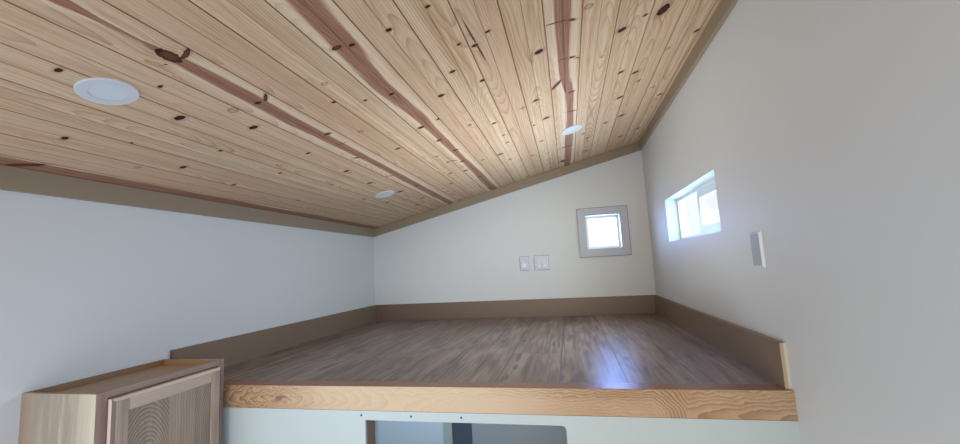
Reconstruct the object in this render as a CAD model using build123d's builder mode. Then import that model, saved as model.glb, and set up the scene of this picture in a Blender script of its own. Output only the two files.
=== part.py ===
"""The end bay of a small timber-framed house, cut off square in front of its sleeping loft.

Millimetres. +X is to the right as one looks into the loft, +Y runs back to the end wall, +Z is up.
The origin is at the middle of the base. The roof is a single slope that rises to the right.
"""

import os
from math import atan, cos, radians, sin, tan

from build123d import *

os.makedirs("parts", exist_ok=True)

# The room
room_width = 2360.0
loft_depth = 1902.0
loft_height = 1956.0
low_ceiling_height = 818.0
roof_rise = 2.75
roof_run = 12.0

# Lumber and sheet stock
lumber = 38.0
stud_depth = 89.0
partition_stud_depth = 64.0
joist_depth = 140.0
rafter_depth = 140.0
beam_size = 89.0
beam_edge_radius = 3.0
floor_lap = 25.0
ledger_size = 38.0
stud_spacing = 406.4
stud_bays = 8
top_plates = 2
end_studs = 5
lining = 12.7
siding = 12.7
underside_sheet = 3.0
floor_sheet = 19.0
roof_sheet_board = 12.7
ceiling_board = 18.0
laminate = 8.0

# Roof covering and edge boards
rib_height = 19.0
rib_foot = 60.0
rib_top = 22.0
rib_spacing = 228.6
metal = 1.2
edge_board = 19.0
edge_board_height = 165.0
roof_drip = 20.0
corner_board_width = 89.0

# Inside trim
baseboard_height = 140.0
baseboard_thickness = 18.0
baseboard_start = 12.0
ceiling_trim_height = 70.0
ceiling_trim_thickness = 18.0
fit_gap = 1.0
floor_gap = 6.0

# Windows, both set at one height
window_height = 270.0
window_centre_height = 655.0
side_window_width = 896.0
side_window_centre = 876.0
end_window_width = 266.0
end_window_from_right = 349.0
window_return_depth = 71.0
window_frame_face = 20.0
window_fit = 3.0
flange_width = 30.0
flange_thickness = 3.0
sash_face = 38.0
sash_depth = 16.0
sash_lap = 60.0
sash_setback = 4.0
track_gap = 4.0
glass = 4.0
casing_width = 64.0
casing_thickness = 12.0

# Ceiling lights, measured along the slope from the low wall
light_radius = 65.0
light_lens_radius = 40.0
light_thickness = 5.0
light_lens_inset = 2.0
light_rim_round = 3.0
lens_clearance = 0.2
light_rows = (570.0, 1848.0)
light_front = -652.0
light_back = 1000.0

# Wall plates
plate_width = 79.0
wide_plate_width = 124.0
plate_height = 124.0
plate_thickness = 7.0
plate_taper = 45.0
plate_level = 434.0
single_plate_from_right = 1000.0
wide_plate_from_right = 857.0
side_plate_from_beam = 114.0

# Doorway in the partition, measured from the low wall and down from the loft floor
doorway_left = 928.0
doorway_right = 1669.0
panel_cut_drop = 122.0
panel_cut_radius = 15.0
backer_left = 841.0
backer_board_thickness = 6.0

# Wall cabinet beside the loft
cabinet_width = 457.0
cabinet_depth = 305.0
cabinet_height = 762.0
cabinet_rise = 108.0
cabinet_gap = 15.0
cabinet_board = 12.7
cabinet_recess = 20.0
hanging_rail = 12.7
cabinet_back_sheet = 5.0
cabinet_back_inset = 8.0
face_frame = 19.0
face_frame_width = 38.0
door_reveal_side = 31.0
door_reveal_end = 24.0
door_thickness = 19.0
door_member = 48.0
door_panel_thickness = 6.0
door_groove = 9.0
door_edge_thickness = 13.0
door_slope_rise = 4.0
door_slope = 68.0
door_quirk = 1.5
door_bead = 3.0
door_clearance = 5.0
knuckle_radius = 4.0
pin_radius = 2.0
pin_clearance = 0.3
knuckle_gap = 0.5
knuckle_length = 18.0
leaf_thickness = 1.5
frame_leaf_width = 16.0
door_leaf_width = 12.0
leaf_height = 54.0
hinge_inset = 90.0

# Levels and faces
slope = roof_rise / roof_run
pitch = atan(slope)
half_room = room_width / 2
frame_face = half_room + lining
frame_back = frame_face + stud_depth
outside = frame_back + siding
roof_edge = outside + edge_board + roof_drip
frame_length = stud_bays * stud_spacing + lumber
total_length = frame_length + siding + edge_board + roof_drip
front = -total_length / 2
frame_end = front + frame_length
end_face = frame_end - stud_depth - lining
beam_front = end_face - loft_depth
beam_back = beam_front + beam_size
frame_middle = front + frame_length / 2
floor_level = underside_sheet + joist_depth + floor_sheet
loft_level = floor_level + loft_height
beam_bottom = loft_level - beam_size
joist_top = loft_level - laminate - floor_sheet
joist_bottom = joist_top - stud_depth


def ceiling_z(x):
    """Height of the ceiling's underside at x."""
    return loft_level + low_ceiling_height + (x + half_room) * slope


def rafter_z(x):
    """Height of the rafters' underside at x."""
    return ceiling_z(x) + ceiling_board / cos(pitch)


def deck_z(x):
    """Height of the rafters' upper edge at x, where the roof's boarding lies."""
    return rafter_z(x) + rafter_depth / cos(pitch)


def sheet_z(x):
    """Height of the boarding's upper face at x, where the metal lies."""
    return deck_z(x) + roof_sheet_board / cos(pitch)


def section(y):
    """The upright plane across the bay at y. A negative extrusion from it runs towards +Y."""
    return Plane(origin=(0, y, 0), x_dir=(1, 0, 0), z_dir=(0, -1, 0))


def sloped_band(left, right, underside, height):
    """A band of plumb height that follows the roof's slope between two plumb ends."""
    Polygon(
        (left, underside(left)),
        (right, underside(right)),
        (right, underside(right) + height),
        (left, underside(left) + height),
        align=None,
    )


def finish(piece, name):
    """Labels a finished piece and writes it."""
    piece.part.label = name
    export_step(piece.part, f"parts/{name}.step")


# Floor
bay_opening = stud_spacing - lumber

with BuildPart() as floor_underside:
    with BuildSketch(Plane.XY):
        with Locations((0, frame_middle)):
            Rectangle(2 * frame_back, frame_length)
    extrude(amount=underside_sheet)
finish(floor_underside, "floor_underside")

with BuildPart() as floor_frame:
    with BuildSketch(Plane.XY.offset(underside_sheet)):
        with Locations((0, frame_middle)):
            Rectangle(2 * frame_back, frame_length)
            with GridLocations(0, stud_spacing, 1, stud_bays):
                Rectangle(2 * (frame_back - lumber), bay_opening, mode=Mode.SUBTRACT)
    extrude(amount=joist_depth)
finish(floor_frame, "floor_frame")

with BuildPart() as floor_deck:
    with BuildSketch(Plane.XY.offset(underside_sheet + joist_depth)):
        with Locations((0, frame_middle)):
            Rectangle(2 * frame_back, frame_length)
    extrude(amount=floor_sheet)
finish(floor_deck, "floor_deck")

# Wall frames: studs between a bottom plate and doubled top plates, with a boxed rough opening
window_level = loft_level + window_centre_height
side_window_y = beam_front + side_window_centre
end_window_x = half_room - end_window_from_right
rough_height = window_height + 2 * lining
side_rough_width = side_window_width + 2 * lining
end_rough_width = end_window_width + 2 * lining
left_seat = rafter_z(-frame_face)
right_seat = rafter_z(frame_back)


def stud_wall(top):
    """The elevation of a side wall's frame, from the floor deck to its seat for the rafters."""
    height = top - floor_level
    bay_height = height - (1 + top_plates) * lumber
    with Locations((frame_middle, floor_level + height / 2)):
        Rectangle(frame_length, height)
    with Locations((frame_middle, floor_level + lumber + bay_height / 2)):
        with GridLocations(stud_spacing, 0, stud_bays, 1):
            Rectangle(bay_opening, bay_height, mode=Mode.SUBTRACT)


with BuildPart() as left_wall_frame:
    with BuildSketch(Plane.YZ.offset(-frame_back)):
        stud_wall(left_seat)
    extrude(amount=stud_depth)
finish(left_wall_frame, "left_wall_frame")

with BuildPart() as right_wall_frame:
    with BuildSketch(Plane.YZ.offset(frame_face)):
        stud_wall(right_seat)
        with Locations((side_window_y, window_level)):
            Rectangle(side_rough_width + 2 * lumber, rough_height + 2 * lumber)
            Rectangle(side_rough_width, rough_height, mode=Mode.SUBTRACT)
    extrude(amount=stud_depth)
finish(right_wall_frame, "right_wall_frame")

end_stud_xs = [stud_spacing * (step - (end_studs - 1) / 2) for step in range(end_studs)]
with BuildPart() as end_wall_frame:
    with BuildSketch(section(frame_end - stud_depth)):
        Polygon(
            (-frame_face, floor_level),
            (frame_face, floor_level),
            (frame_face, rafter_z(frame_face)),
            (-frame_face, rafter_z(-frame_face)),
            align=None,
        )
        stud_sides = [-frame_face + lumber]
        for x in end_stud_xs:
            stud_sides += [x - lumber / 2, x + lumber / 2]
        stud_sides.append(frame_face - lumber)
        for left, right in zip(stud_sides[::2], stud_sides[1::2]):
            Polygon(
                (left, floor_level + lumber),
                (right, floor_level + lumber),
                (right, rafter_z(right) - top_plates * lumber),
                (left, rafter_z(left) - top_plates * lumber),
                align=None,
                mode=Mode.SUBTRACT,
            )
        with Locations((end_window_x, window_level)):
            Rectangle(end_rough_width + 2 * lumber, rough_height + 2 * lumber)
            Rectangle(end_rough_width, rough_height, mode=Mode.SUBTRACT)
    extrude(amount=-stud_depth)
finish(end_wall_frame, "end_wall_frame")

# Linings: wallboard that returns into each window's opening
with BuildPart() as left_lining:
    with BuildSketch(Plane.YZ.offset(-frame_face)):
        with Locations((front, floor_level)):
            Rectangle(end_face - front, left_seat - floor_level, align=Align.MIN)
    extrude(amount=lining)
finish(left_lining, "left_lining")

with BuildPart() as right_lining:
    with BuildSketch(Plane.YZ.offset(half_room)):
        with Locations((front, floor_level)):
            Rectangle(end_face - front, rafter_z(half_room) - floor_level, align=Align.MIN)
    extrude(amount=lining)
    with BuildSketch(Plane.YZ.offset(half_room)):
        with Locations((side_window_y, window_level)):
            Rectangle(side_rough_width, rough_height)
    extrude(amount=window_return_depth)
    with BuildSketch(Plane.YZ.offset(half_room)):
        with Locations((side_window_y, window_level)):
            Rectangle(side_window_width, window_height)
    extrude(amount=window_return_depth, mode=Mode.SUBTRACT)
finish(right_lining, "right_lining")

with BuildPart() as end_lining:
    with BuildSketch(section(end_face)):
        Polygon(
            (-frame_face, floor_level),
            (frame_face, floor_level),
            (frame_face, rafter_z(frame_face)),
            (-frame_face, rafter_z(-frame_face)),
            align=None,
        )
    extrude(amount=-lining)
    with BuildSketch(section(end_face)):
        with Locations((end_window_x, window_level)):
            Rectangle(end_rough_width, rough_height)
    extrude(amount=-window_return_depth)
    with BuildSketch(section(end_face)):
        with Locations((end_window_x, window_level)):
            Rectangle(end_window_width, window_height)
    extrude(amount=-window_return_depth, mode=Mode.SUBTRACT)
finish(end_lining, "end_lining")

# Siding: sheets from the ground up to the rafter tails
with BuildPart() as left_siding:
    with BuildSketch(Plane.YZ.offset(-outside)):
        with Locations((front, 0)):
            Rectangle(frame_length, rafter_z(-outside), align=Align.MIN)
    extrude(amount=siding)
finish(left_siding, "left_siding")

with BuildPart() as right_siding:
    with BuildSketch(Plane.YZ.offset(frame_back)):
        with Locations((front, 0)):
            Rectangle(frame_length, right_seat, align=Align.MIN)
        with Locations((side_window_y, window_level)):
            Rectangle(side_rough_width, rough_height, mode=Mode.SUBTRACT)
    extrude(amount=siding)
finish(right_siding, "right_siding")

with BuildPart() as end_siding:
    with BuildSketch(section(frame_end)):
        Polygon(
            (-outside, 0),
            (outside, 0),
            (outside, deck_z(outside)),
            (-outside, deck_z(-outside)),
            align=None,
        )
        with Locations((end_window_x, window_level)):
            Rectangle(end_rough_width, rough_height, mode=Mode.SUBTRACT)
    extrude(amount=-siding)
finish(end_siding, "end_siding")

end_outside = frame_end + siding
deck_edge = outside + edge_board
edge_drop = edge_board_height / cos(pitch)
with BuildPart() as corner_boards:
    for side in (-1, 1):
        inner_x = side * (outside - corner_board_width)
        top = min(deck_z(side * deck_edge), deck_z(inner_x)) - edge_drop
        with BuildSketch(Plane.XY):
            with Locations((side * (outside + edge_board), end_outside + edge_board)):
                Rectangle(
                    corner_board_width + edge_board,
                    corner_board_width + edge_board,
                    align=(Align.MIN if side < 0 else Align.MAX, Align.MAX),
                )
            with Locations((side * outside, end_outside)):
                Rectangle(
                    corner_board_width,
                    corner_board_width,
                    align=(Align.MIN if side < 0 else Align.MAX, Align.MAX),
                    mode=Mode.SUBTRACT,
                )
        extrude(amount=top)
finish(corner_boards, "corner_boards")

# Roof: rafters notched over the wall plates, boarded below and decked above
with BuildPart() as rafters:
    rafter_outline = [
        (-outside, rafter_z(-outside)),
        (-frame_back, rafter_z(-frame_back)),
        (-frame_back, left_seat),
        (-frame_face, left_seat),
        (frame_face, rafter_z(frame_face)),
        (frame_face, right_seat),
        (frame_back, right_seat),
        (outside, rafter_z(outside)),
        (outside, deck_z(outside)),
        (-outside, deck_z(-outside)),
    ]
    for bay in range(stud_bays + 1):
        with BuildSketch(section(front + bay * stud_spacing)):
            Polygon(*rafter_outline, align=None)
        extrude(amount=-lumber)
finish(rafters, "rafters")

with BuildPart() as ceiling_boards:
    with BuildSketch(section(front)):
        sloped_band(
            fit_gap - half_room, half_room - fit_gap, ceiling_z, ceiling_board / cos(pitch)
        )
    extrude(amount=-(end_face - fit_gap - front))
finish(ceiling_boards, "ceiling_boards")

with BuildPart() as roof_deck:
    with BuildSketch(section(front)):
        sloped_band(-deck_edge, deck_edge, deck_z, roof_sheet_board / cos(pitch))
    extrude(amount=-(end_outside + edge_board - front))
finish(roof_deck, "roof_deck")

with BuildPart() as roof_sheet:
    with BuildSketch(Plane.YZ.offset(-roof_edge)):
        base = sheet_z(-roof_edge)
        pan = metal / cos(pitch)
        with Locations((front, base)):
            Rectangle(total_length, pan, align=Align.MIN)
        rib_count = int(total_length // rib_spacing)
        rib_margin = (total_length - (rib_count - 1) * rib_spacing) / 2
        for rib in range(rib_count):
            middle = front + rib_margin + rib * rib_spacing
            Polygon(
                (middle - rib_foot / 2, base + pan),
                (middle + rib_foot / 2, base + pan),
                (middle + rib_top / 2, base + rib_height),
                (middle - rib_top / 2, base + rib_height),
                align=None,
            )
    extrude(amount=2 * roof_edge / cos(pitch), dir=(cos(pitch), 0, sin(pitch)))
finish(roof_sheet, "roof_sheet")

with BuildPart() as eave_fascias:
    with BuildSketch(section(front)):
        for side in (-1, 1):
            top = min(deck_z(side * outside), deck_z(side * deck_edge))
            with Locations((side * (outside + edge_board / 2), top)):
                Rectangle(edge_board, edge_board_height, align=(Align.CENTER, Align.MAX))
    extrude(amount=-(end_outside - front))
finish(eave_fascias, "eave_fascias")

with BuildPart() as rake_fascia:
    with BuildSketch(section(end_outside)):
        sloped_band(-deck_edge, deck_edge, lambda x: deck_z(x) - edge_drop, edge_drop)
    extrude(amount=-edge_board)
finish(rake_fascia, "rake_fascia")

with BuildPart() as side_ceiling_trims:
    with BuildSketch(section(front)):
        for side in (-1, 1):
            wall = side * half_room
            proud = wall - side * ceiling_trim_thickness
            low = ceiling_z(wall) - ceiling_trim_height
            Polygon(
                (wall, low),
                (wall, ceiling_z(wall)),
                (proud, ceiling_z(proud)),
                (proud, low),
                align=None,
            )
    extrude(amount=-(end_face - ceiling_trim_thickness - front))
finish(side_ceiling_trims, "side_ceiling_trims")

with BuildPart() as end_ceiling_trim:
    with BuildSketch(section(end_face - ceiling_trim_thickness)):
        sloped_band(
            -half_room,
            half_room,
            lambda x: ceiling_z(x) - ceiling_trim_height,
            ceiling_trim_height,
        )
    extrude(amount=-ceiling_trim_thickness)
finish(end_ceiling_trim, "end_ceiling_trim")

# Ceiling lights, drawn on the ceiling's underside: x runs up the slope, y towards the front
ceiling_plane = Plane(
    origin=(-half_room, beam_front, ceiling_z(-half_room)),
    x_dir=(cos(pitch), 0, sin(pitch)),
    z_dir=(sin(pitch), 0, -cos(pitch)),
)
light_places = [(s, -y) for s in light_rows for y in (light_front, light_back)]

with BuildPart() as light_rims:
    with BuildSketch(ceiling_plane):
        with Locations(*light_places):
            Circle(light_radius)
            Circle(light_lens_radius, mode=Mode.SUBTRACT)
    extrude(amount=light_thickness)
    rim_edges = light_rims.edges().filter_by(GeomType.CIRCLE)
    rim_edges = [edge for edge in rim_edges if edge.radius > light_lens_radius]
    proud_edges = [
        edge
        for edge in rim_edges
        if ceiling_z(edge.center().X) - edge.center().Z > light_thickness / 2
    ]
    fillet(proud_edges, light_rim_round)
finish(light_rims, "light_rims")

with BuildPart() as light_lenses:
    with BuildSketch(ceiling_plane):
        with Locations(*light_places):
            Circle(light_lens_radius - lens_clearance)
    extrude(amount=light_thickness - light_lens_inset)
finish(light_lenses, "light_lenses")

# Partition under the loft's beam
partition_back = beam_front + lining + partition_stud_depth
with BuildPart() as partition_frame:
    door_left = doorway_left - half_room
    door_right = doorway_right - half_room
    bay_base = floor_level + lumber
    bay_top = beam_bottom - lumber
    with BuildSketch(section(beam_front + lining)):
        with Locations((0, floor_level)):
            Rectangle(room_width, beam_bottom - floor_level, align=(Align.CENTER, Align.MIN))
        with Locations(((door_left + door_right) / 2, floor_level)):
            Rectangle(
                door_right - door_left,
                bay_top - floor_level,
                align=(Align.CENTER, Align.MIN),
                mode=Mode.SUBTRACT,
            )
        for low_x, high_x in (
            (-half_room + lumber, door_left - lumber),
            (door_right + lumber, half_room - lumber),
        ):
            bays = round((high_x - low_x) / stud_spacing)
            bay = (high_x - low_x - (bays - 1) * lumber) / bays
            with Locations(((low_x + high_x) / 2, (bay_base + bay_top) / 2)):
                with GridLocations(bay + lumber, 0, bays, 1):
                    Rectangle(bay, bay_top - bay_base, mode=Mode.SUBTRACT)
    extrude(amount=-partition_stud_depth)
finish(partition_frame, "partition_frame")

with BuildPart() as partition_panel:
    with BuildSketch(section(beam_front)):
        with Locations((0, floor_level)):
            Rectangle(room_width, beam_bottom - floor_level, align=(Align.CENTER, Align.MIN))
        with BuildSketch(mode=Mode.SUBTRACT) as cut:
            with Locations((door_left, floor_level)):
                Rectangle(
                    door_right - door_left,
                    loft_height - panel_cut_drop,
                    align=Align.MIN,
                )
            top_right = cut.vertices().sort_by(Axis.Y)[-2:].sort_by(Axis.X)[-1]
            fillet(top_right, panel_cut_radius)
    extrude(amount=-lining)
finish(partition_panel, "partition_panel")

with BuildPart() as backer_board:
    with BuildSketch(section(end_face - backer_board_thickness)):
        with Locations((backer_left - half_room, floor_level)):
            Rectangle(
                room_width - backer_left,
                joist_bottom - ledger_size - floor_level,
                align=Align.MIN,
            )
    extrude(amount=-backer_board_thickness)
finish(backer_board, "backer_board")

# Loft: a front beam rebated for the floor, joists on side ledgers, a subfloor and the laid floor
with BuildPart() as loft_beam:
    with BuildSketch(Plane.YZ.offset(-half_room)):
        with Locations((beam_front, beam_bottom)):
            Rectangle(beam_size, beam_size, align=Align.MIN)
        with Locations((beam_back, loft_level)):
            Rectangle(floor_lap, laminate, align=Align.MAX, mode=Mode.SUBTRACT)
    extrude(amount=room_width)
    front_edges = loft_beam.edges().filter_by(Axis.X).group_by(Axis.Y)[0]
    fillet(front_edges, beam_edge_radius)
finish(loft_beam, "loft_beam")

joist_count = int((end_face - lumber - beam_back) // stud_spacing) + 1
with BuildPart() as loft_joists:
    with BuildSketch(Plane.YZ.offset(-half_room)):
        for joist in range(joist_count):
            with Locations((end_face - joist * stud_spacing, joist_bottom)):
                Rectangle(lumber, stud_depth, align=(Align.MAX, Align.MIN))
    extrude(amount=room_width)
finish(loft_joists, "loft_joists")

with BuildPart() as loft_ledgers:
    with BuildSketch(section(partition_back)):
        for side in (-1, 1):
            with Locations((side * (half_room - ledger_size / 2), joist_bottom)):
                Rectangle(ledger_size, ledger_size, align=(Align.CENTER, Align.MAX))
    extrude(amount=-(end_face - partition_back))
finish(loft_ledgers, "loft_ledgers")

with BuildPart() as loft_subfloor:
    with BuildSketch(Plane.XY.offset(joist_top)):
        with Locations((0, beam_back)):
            Rectangle(room_width, end_face - beam_back, align=(Align.CENTER, Align.MIN))
    extrude(amount=floor_sheet)
finish(loft_subfloor, "loft_subfloor")

with BuildPart() as loft_floor:
    with BuildSketch(Plane.XY.offset(joist_top + floor_sheet)):
        with Locations((0, beam_back - floor_lap)):
            Rectangle(
                room_width - 2 * floor_gap,
                end_face - floor_gap - beam_back + floor_lap,
                align=(Align.CENTER, Align.MIN),
            )
    extrude(amount=laminate)
finish(loft_floor, "loft_floor")

with BuildPart() as side_baseboards:
    with BuildSketch(section(beam_front + baseboard_start)):
        for side in (-1, 1):
            with Locations((side * (half_room - baseboard_thickness / 2), loft_level)):
                Rectangle(baseboard_thickness, baseboard_height, align=(Align.CENTER, Align.MIN))
    extrude(amount=-(loft_depth - baseboard_start - baseboard_thickness))
finish(side_baseboards, "side_baseboards")

with BuildPart() as end_baseboard:
    with BuildSketch(section(end_face - baseboard_thickness)):
        with Locations((0, loft_level)):
            Rectangle(room_width, baseboard_height, align=(Align.CENTER, Align.MIN))
    extrude(amount=-baseboard_thickness)
finish(end_baseboard, "end_baseboard")

# Windows: a hollow frame with an outside flange, set against the wallboard returns
side_unit_width = side_rough_width - 2 * window_fit
end_unit_width = end_rough_width - 2 * window_fit
unit_height = rough_height - 2 * window_fit
return_cover = lining - window_fit
sight_inset = return_cover + window_frame_face
flange_start = lining + stud_depth + siding
side_sight_width = side_unit_width - 2 * sight_inset
end_sight_width = end_unit_width - 2 * sight_inset
sight_height = unit_height - 2 * sight_inset
side_window_plane = Plane(
    origin=(half_room, side_window_y, window_level), x_dir=(0, 1, 0), z_dir=(1, 0, 0)
)
end_window_plane = Plane(
    origin=(end_window_x, end_face, window_level), x_dir=(-1, 0, 0), z_dir=(0, 1, 0)
)

with BuildPart() as window_frames:
    for plane, width in (
        (side_window_plane, side_unit_width),
        (end_window_plane, end_unit_width),
    ):
        with BuildSketch(plane.offset(window_return_depth)):
            Rectangle(width, unit_height)
            Rectangle(width - 2 * sight_inset, sight_height, mode=Mode.SUBTRACT)
        extrude(amount=flange_start - window_return_depth)
        with BuildSketch(plane.offset(flange_start)):
            Rectangle(width + 2 * flange_width, unit_height + 2 * flange_width)
            Rectangle(width - 2 * sight_inset, sight_height, mode=Mode.SUBTRACT)
        extrude(amount=flange_thickness)
finish(window_frames, "window_frames")

sash_start = window_return_depth + sash_setback
fixed_glass_start = sash_start + sash_depth + track_gap
half_sight = side_sight_width / 2
sash_width = half_sight + sash_lap
sash_centre = (sash_lap - half_sight) / 2
with BuildPart() as side_window_sash:
    with BuildSketch(side_window_plane.offset(sash_start)):
        with Locations((sash_centre, 0)):
            Rectangle(sash_width, sight_height)
            Rectangle(
                sash_width - 2 * sash_face, sight_height - 2 * sash_face, mode=Mode.SUBTRACT
            )
    extrude(amount=sash_depth)
finish(side_window_sash, "side_window_sash")

with BuildPart() as window_glass:
    with BuildSketch(side_window_plane.offset(sash_start + (sash_depth - glass) / 2)):
        with Locations((sash_centre, 0)):
            Rectangle(sash_width - 2 * sash_face, sight_height - 2 * sash_face)
    extrude(amount=glass)
    with BuildSketch(side_window_plane.offset(fixed_glass_start)):
        with Locations((half_sight / 2, 0)):
            Rectangle(half_sight, sight_height)
    extrude(amount=glass)
    with BuildSketch(end_window_plane.offset(fixed_glass_start)):
        Rectangle(end_sight_width, sight_height)
    extrude(amount=glass)
finish(window_glass, "window_glass")

with BuildPart() as end_window_casing:
    with BuildSketch(end_window_plane):
        Rectangle(end_window_width + 2 * casing_width, window_height + 2 * casing_width)
        Rectangle(end_window_width, window_height, mode=Mode.SUBTRACT)
    extrude(amount=-casing_thickness)
finish(end_window_casing, "end_window_casing")

# Wall plates
with BuildPart() as wall_plates:
    for from_right, width in (
        (single_plate_from_right, plate_width),
        (wide_plate_from_right, wide_plate_width),
    ):
        with BuildSketch(section(end_face)):
            with Locations((half_room - from_right, loft_level + plate_level)):
                Rectangle(width, plate_height)
        extrude(amount=plate_thickness, taper=plate_taper)
    with BuildSketch(Plane.YZ.offset(half_room)):
        with Locations((beam_front + side_plate_from_beam, loft_level + plate_level)):
            Rectangle(plate_width, plate_height)
    extrude(amount=-plate_thickness, taper=plate_taper)
finish(wall_plates, "wall_plates")

# Cabinet: a case with a sunk top and bottom and a hanging rail at the wall, a face frame, and a
# panelled door on two hinges
cabinet_top = loft_level + cabinet_rise
cabinet_bottom = cabinet_top - cabinet_height
cabinet_far = beam_front - cabinet_gap
cabinet_middle = cabinet_far - cabinet_width / 2
cabinet_centre = cabinet_top - cabinet_height / 2
case_front = cabinet_depth - face_frame - half_room
frame_front = case_front + face_frame
back_plane = cabinet_back_inset - half_room

with BuildPart() as cabinet_case:
    with BuildSketch(Plane.YZ.offset(-half_room)):
        with Locations((cabinet_middle, cabinet_centre)):
            Rectangle(cabinet_width, cabinet_height)
            Rectangle(
                cabinet_width - 2 * cabinet_board,
                cabinet_height - 2 * (cabinet_board + cabinet_recess),
                mode=Mode.SUBTRACT,
            )
        for level, side in ((cabinet_top, Align.MAX), (cabinet_bottom, Align.MIN)):
            with Locations((cabinet_middle, level)):
                Rectangle(
                    cabinet_width - 2 * cabinet_board,
                    cabinet_recess,
                    align=(Align.CENTER, side),
                    mode=Mode.SUBTRACT,
                )
    extrude(amount=cabinet_depth - face_frame)
    with BuildSketch(Plane.YZ.offset(-half_room)):
        with Locations((cabinet_middle, cabinet_top)):
            Rectangle(
                cabinet_width - 2 * cabinet_board,
                cabinet_recess,
                align=(Align.CENTER, Align.MAX),
            )
    extrude(amount=hanging_rail)
finish(cabinet_case, "cabinet_case")

with BuildPart() as cabinet_back:
    with BuildSketch(Plane.YZ.offset(back_plane)):
        with Locations((cabinet_middle, cabinet_centre)):
            Rectangle(
                cabinet_width - 2 * cabinet_board,
                cabinet_height - 2 * (cabinet_board + cabinet_recess),
            )
    extrude(amount=cabinet_back_sheet)
finish(cabinet_back, "cabinet_back")

with BuildPart() as cabinet_face_frame:
    with BuildSketch(Plane.YZ.offset(case_front)):
        with Locations((cabinet_middle, cabinet_centre)):
            Rectangle(cabinet_width, cabinet_height)
            Rectangle(
                cabinet_width - 2 * face_frame_width,
                cabinet_height - 2 * face_frame_width,
                mode=Mode.SUBTRACT,
            )
    extrude(amount=face_frame)
finish(cabinet_face_frame, "cabinet_face_frame")

door_back = frame_front + door_clearance
door_far = cabinet_far - door_reveal_side
door_width = cabinet_width - 2 * door_reveal_side
door_height = cabinet_height - 2 * door_reveal_end
panel_width = door_width - 2 * (door_member - door_groove)
panel_height = door_height - 2 * (door_member - door_groove)
panel_back = door_back + (door_thickness - door_panel_thickness) / 2

slope_width = door_slope_rise * tan(radians(door_slope))
field_inset = slope_width + door_quirk
with BuildPart() as door_frame:
    with BuildSketch(Plane.YZ.offset(door_back)):
        with Locations((cabinet_middle, cabinet_centre)):
            Rectangle(door_width, door_height)
    extrude(amount=door_edge_thickness)
    with BuildSketch(Plane.YZ.offset(door_back + door_edge_thickness)):
        with Locations((cabinet_middle, cabinet_centre)):
            Rectangle(door_width, door_height)
    extrude(amount=door_slope_rise, taper=door_slope)
    with BuildSketch(Plane.YZ.offset(door_back)):
        with Locations((cabinet_middle, cabinet_centre)):
            Rectangle(door_width - 2 * field_inset, door_height - 2 * field_inset)
    extrude(amount=door_thickness)
    with BuildSketch(Plane.YZ.offset(door_back)):
        with Locations((cabinet_middle, cabinet_centre)):
            Rectangle(door_width - 2 * door_member, door_height - 2 * door_member)
    extrude(amount=door_thickness, mode=Mode.SUBTRACT)
    with BuildSketch(Plane.YZ.offset(panel_back)):
        with Locations((cabinet_middle, cabinet_centre)):
            Rectangle(panel_width, panel_height)
    extrude(amount=door_panel_thickness, mode=Mode.SUBTRACT)
    chamfer(door_frame.faces().sort_by(Axis.X)[-1].inner_wires()[0].edges(), door_bead)
finish(door_frame, "door_frame")

with BuildPart() as door_panel:
    with BuildSketch(Plane.YZ.offset(panel_back)):
        with Locations((cabinet_middle, cabinet_centre)):
            Rectangle(panel_width, panel_height)
    extrude(amount=door_panel_thickness)
finish(door_panel, "door_panel")

# Hinges: the pin and the two outer knuckles stay on the face frame, the middle one turns
hinge_x = frame_front + knuckle_gap + knuckle_radius
hinge_y = door_far + leaf_thickness + pin_clearance + knuckle_radius
hinge_levels = (cabinet_bottom + hinge_inset, cabinet_top - hinge_inset)
leaf_start = hinge_y + knuckle_radius + pin_clearance

with BuildPart() as cabinet_hinges:
    for level in hinge_levels:
        with BuildSketch(Plane.XY.offset(level - leaf_height / 2)):
            with Locations((hinge_x, hinge_y)):
                Circle(pin_radius)
            with Locations((frame_front, leaf_start)):
                Rectangle(leaf_thickness, frame_leaf_width, align=Align.MIN)
        extrude(amount=leaf_height)
        for start in (-leaf_height / 2, leaf_height / 2 - knuckle_length):
            with BuildSketch(Plane.XY.offset(level + start)):
                with Locations((hinge_x, hinge_y)):
                    Circle(knuckle_radius)
                with Locations((frame_front, hinge_y)):
                    Rectangle(leaf_thickness, leaf_start - hinge_y, align=Align.MIN)
            extrude(amount=knuckle_length)
finish(cabinet_hinges, "cabinet_hinges")

with BuildPart() as door_hinge_leaves:
    middle_knuckle = leaf_height - 2 * (knuckle_length + pin_clearance)
    hole_radius = pin_radius + pin_clearance
    for level in hinge_levels:
        with BuildSketch(Plane.XY.offset(level - middle_knuckle / 2)):
            with Locations((hinge_x, hinge_y)):
                Circle(knuckle_radius)
            with Locations((hinge_x + knuckle_radius, door_far)):
                Rectangle(
                    knuckle_radius - hole_radius,
                    hinge_y - door_far,
                    align=(Align.MAX, Align.MIN),
                )
            with Locations((hinge_x, hinge_y)):
                Circle(hole_radius, mode=Mode.SUBTRACT)
        extrude(amount=middle_knuckle)
        with BuildSketch(Plane.XY.offset(level - leaf_height / 2)):
            with Locations((door_back, door_far)):
                Rectangle(door_leaf_width, leaf_thickness, align=Align.MIN)
        extrude(amount=leaf_height)
finish(door_hinge_leaves, "door_hinge_leaves")
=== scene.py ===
import math
import random

import bmesh
import bpy
from mathutils import Matrix, Vector


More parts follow.
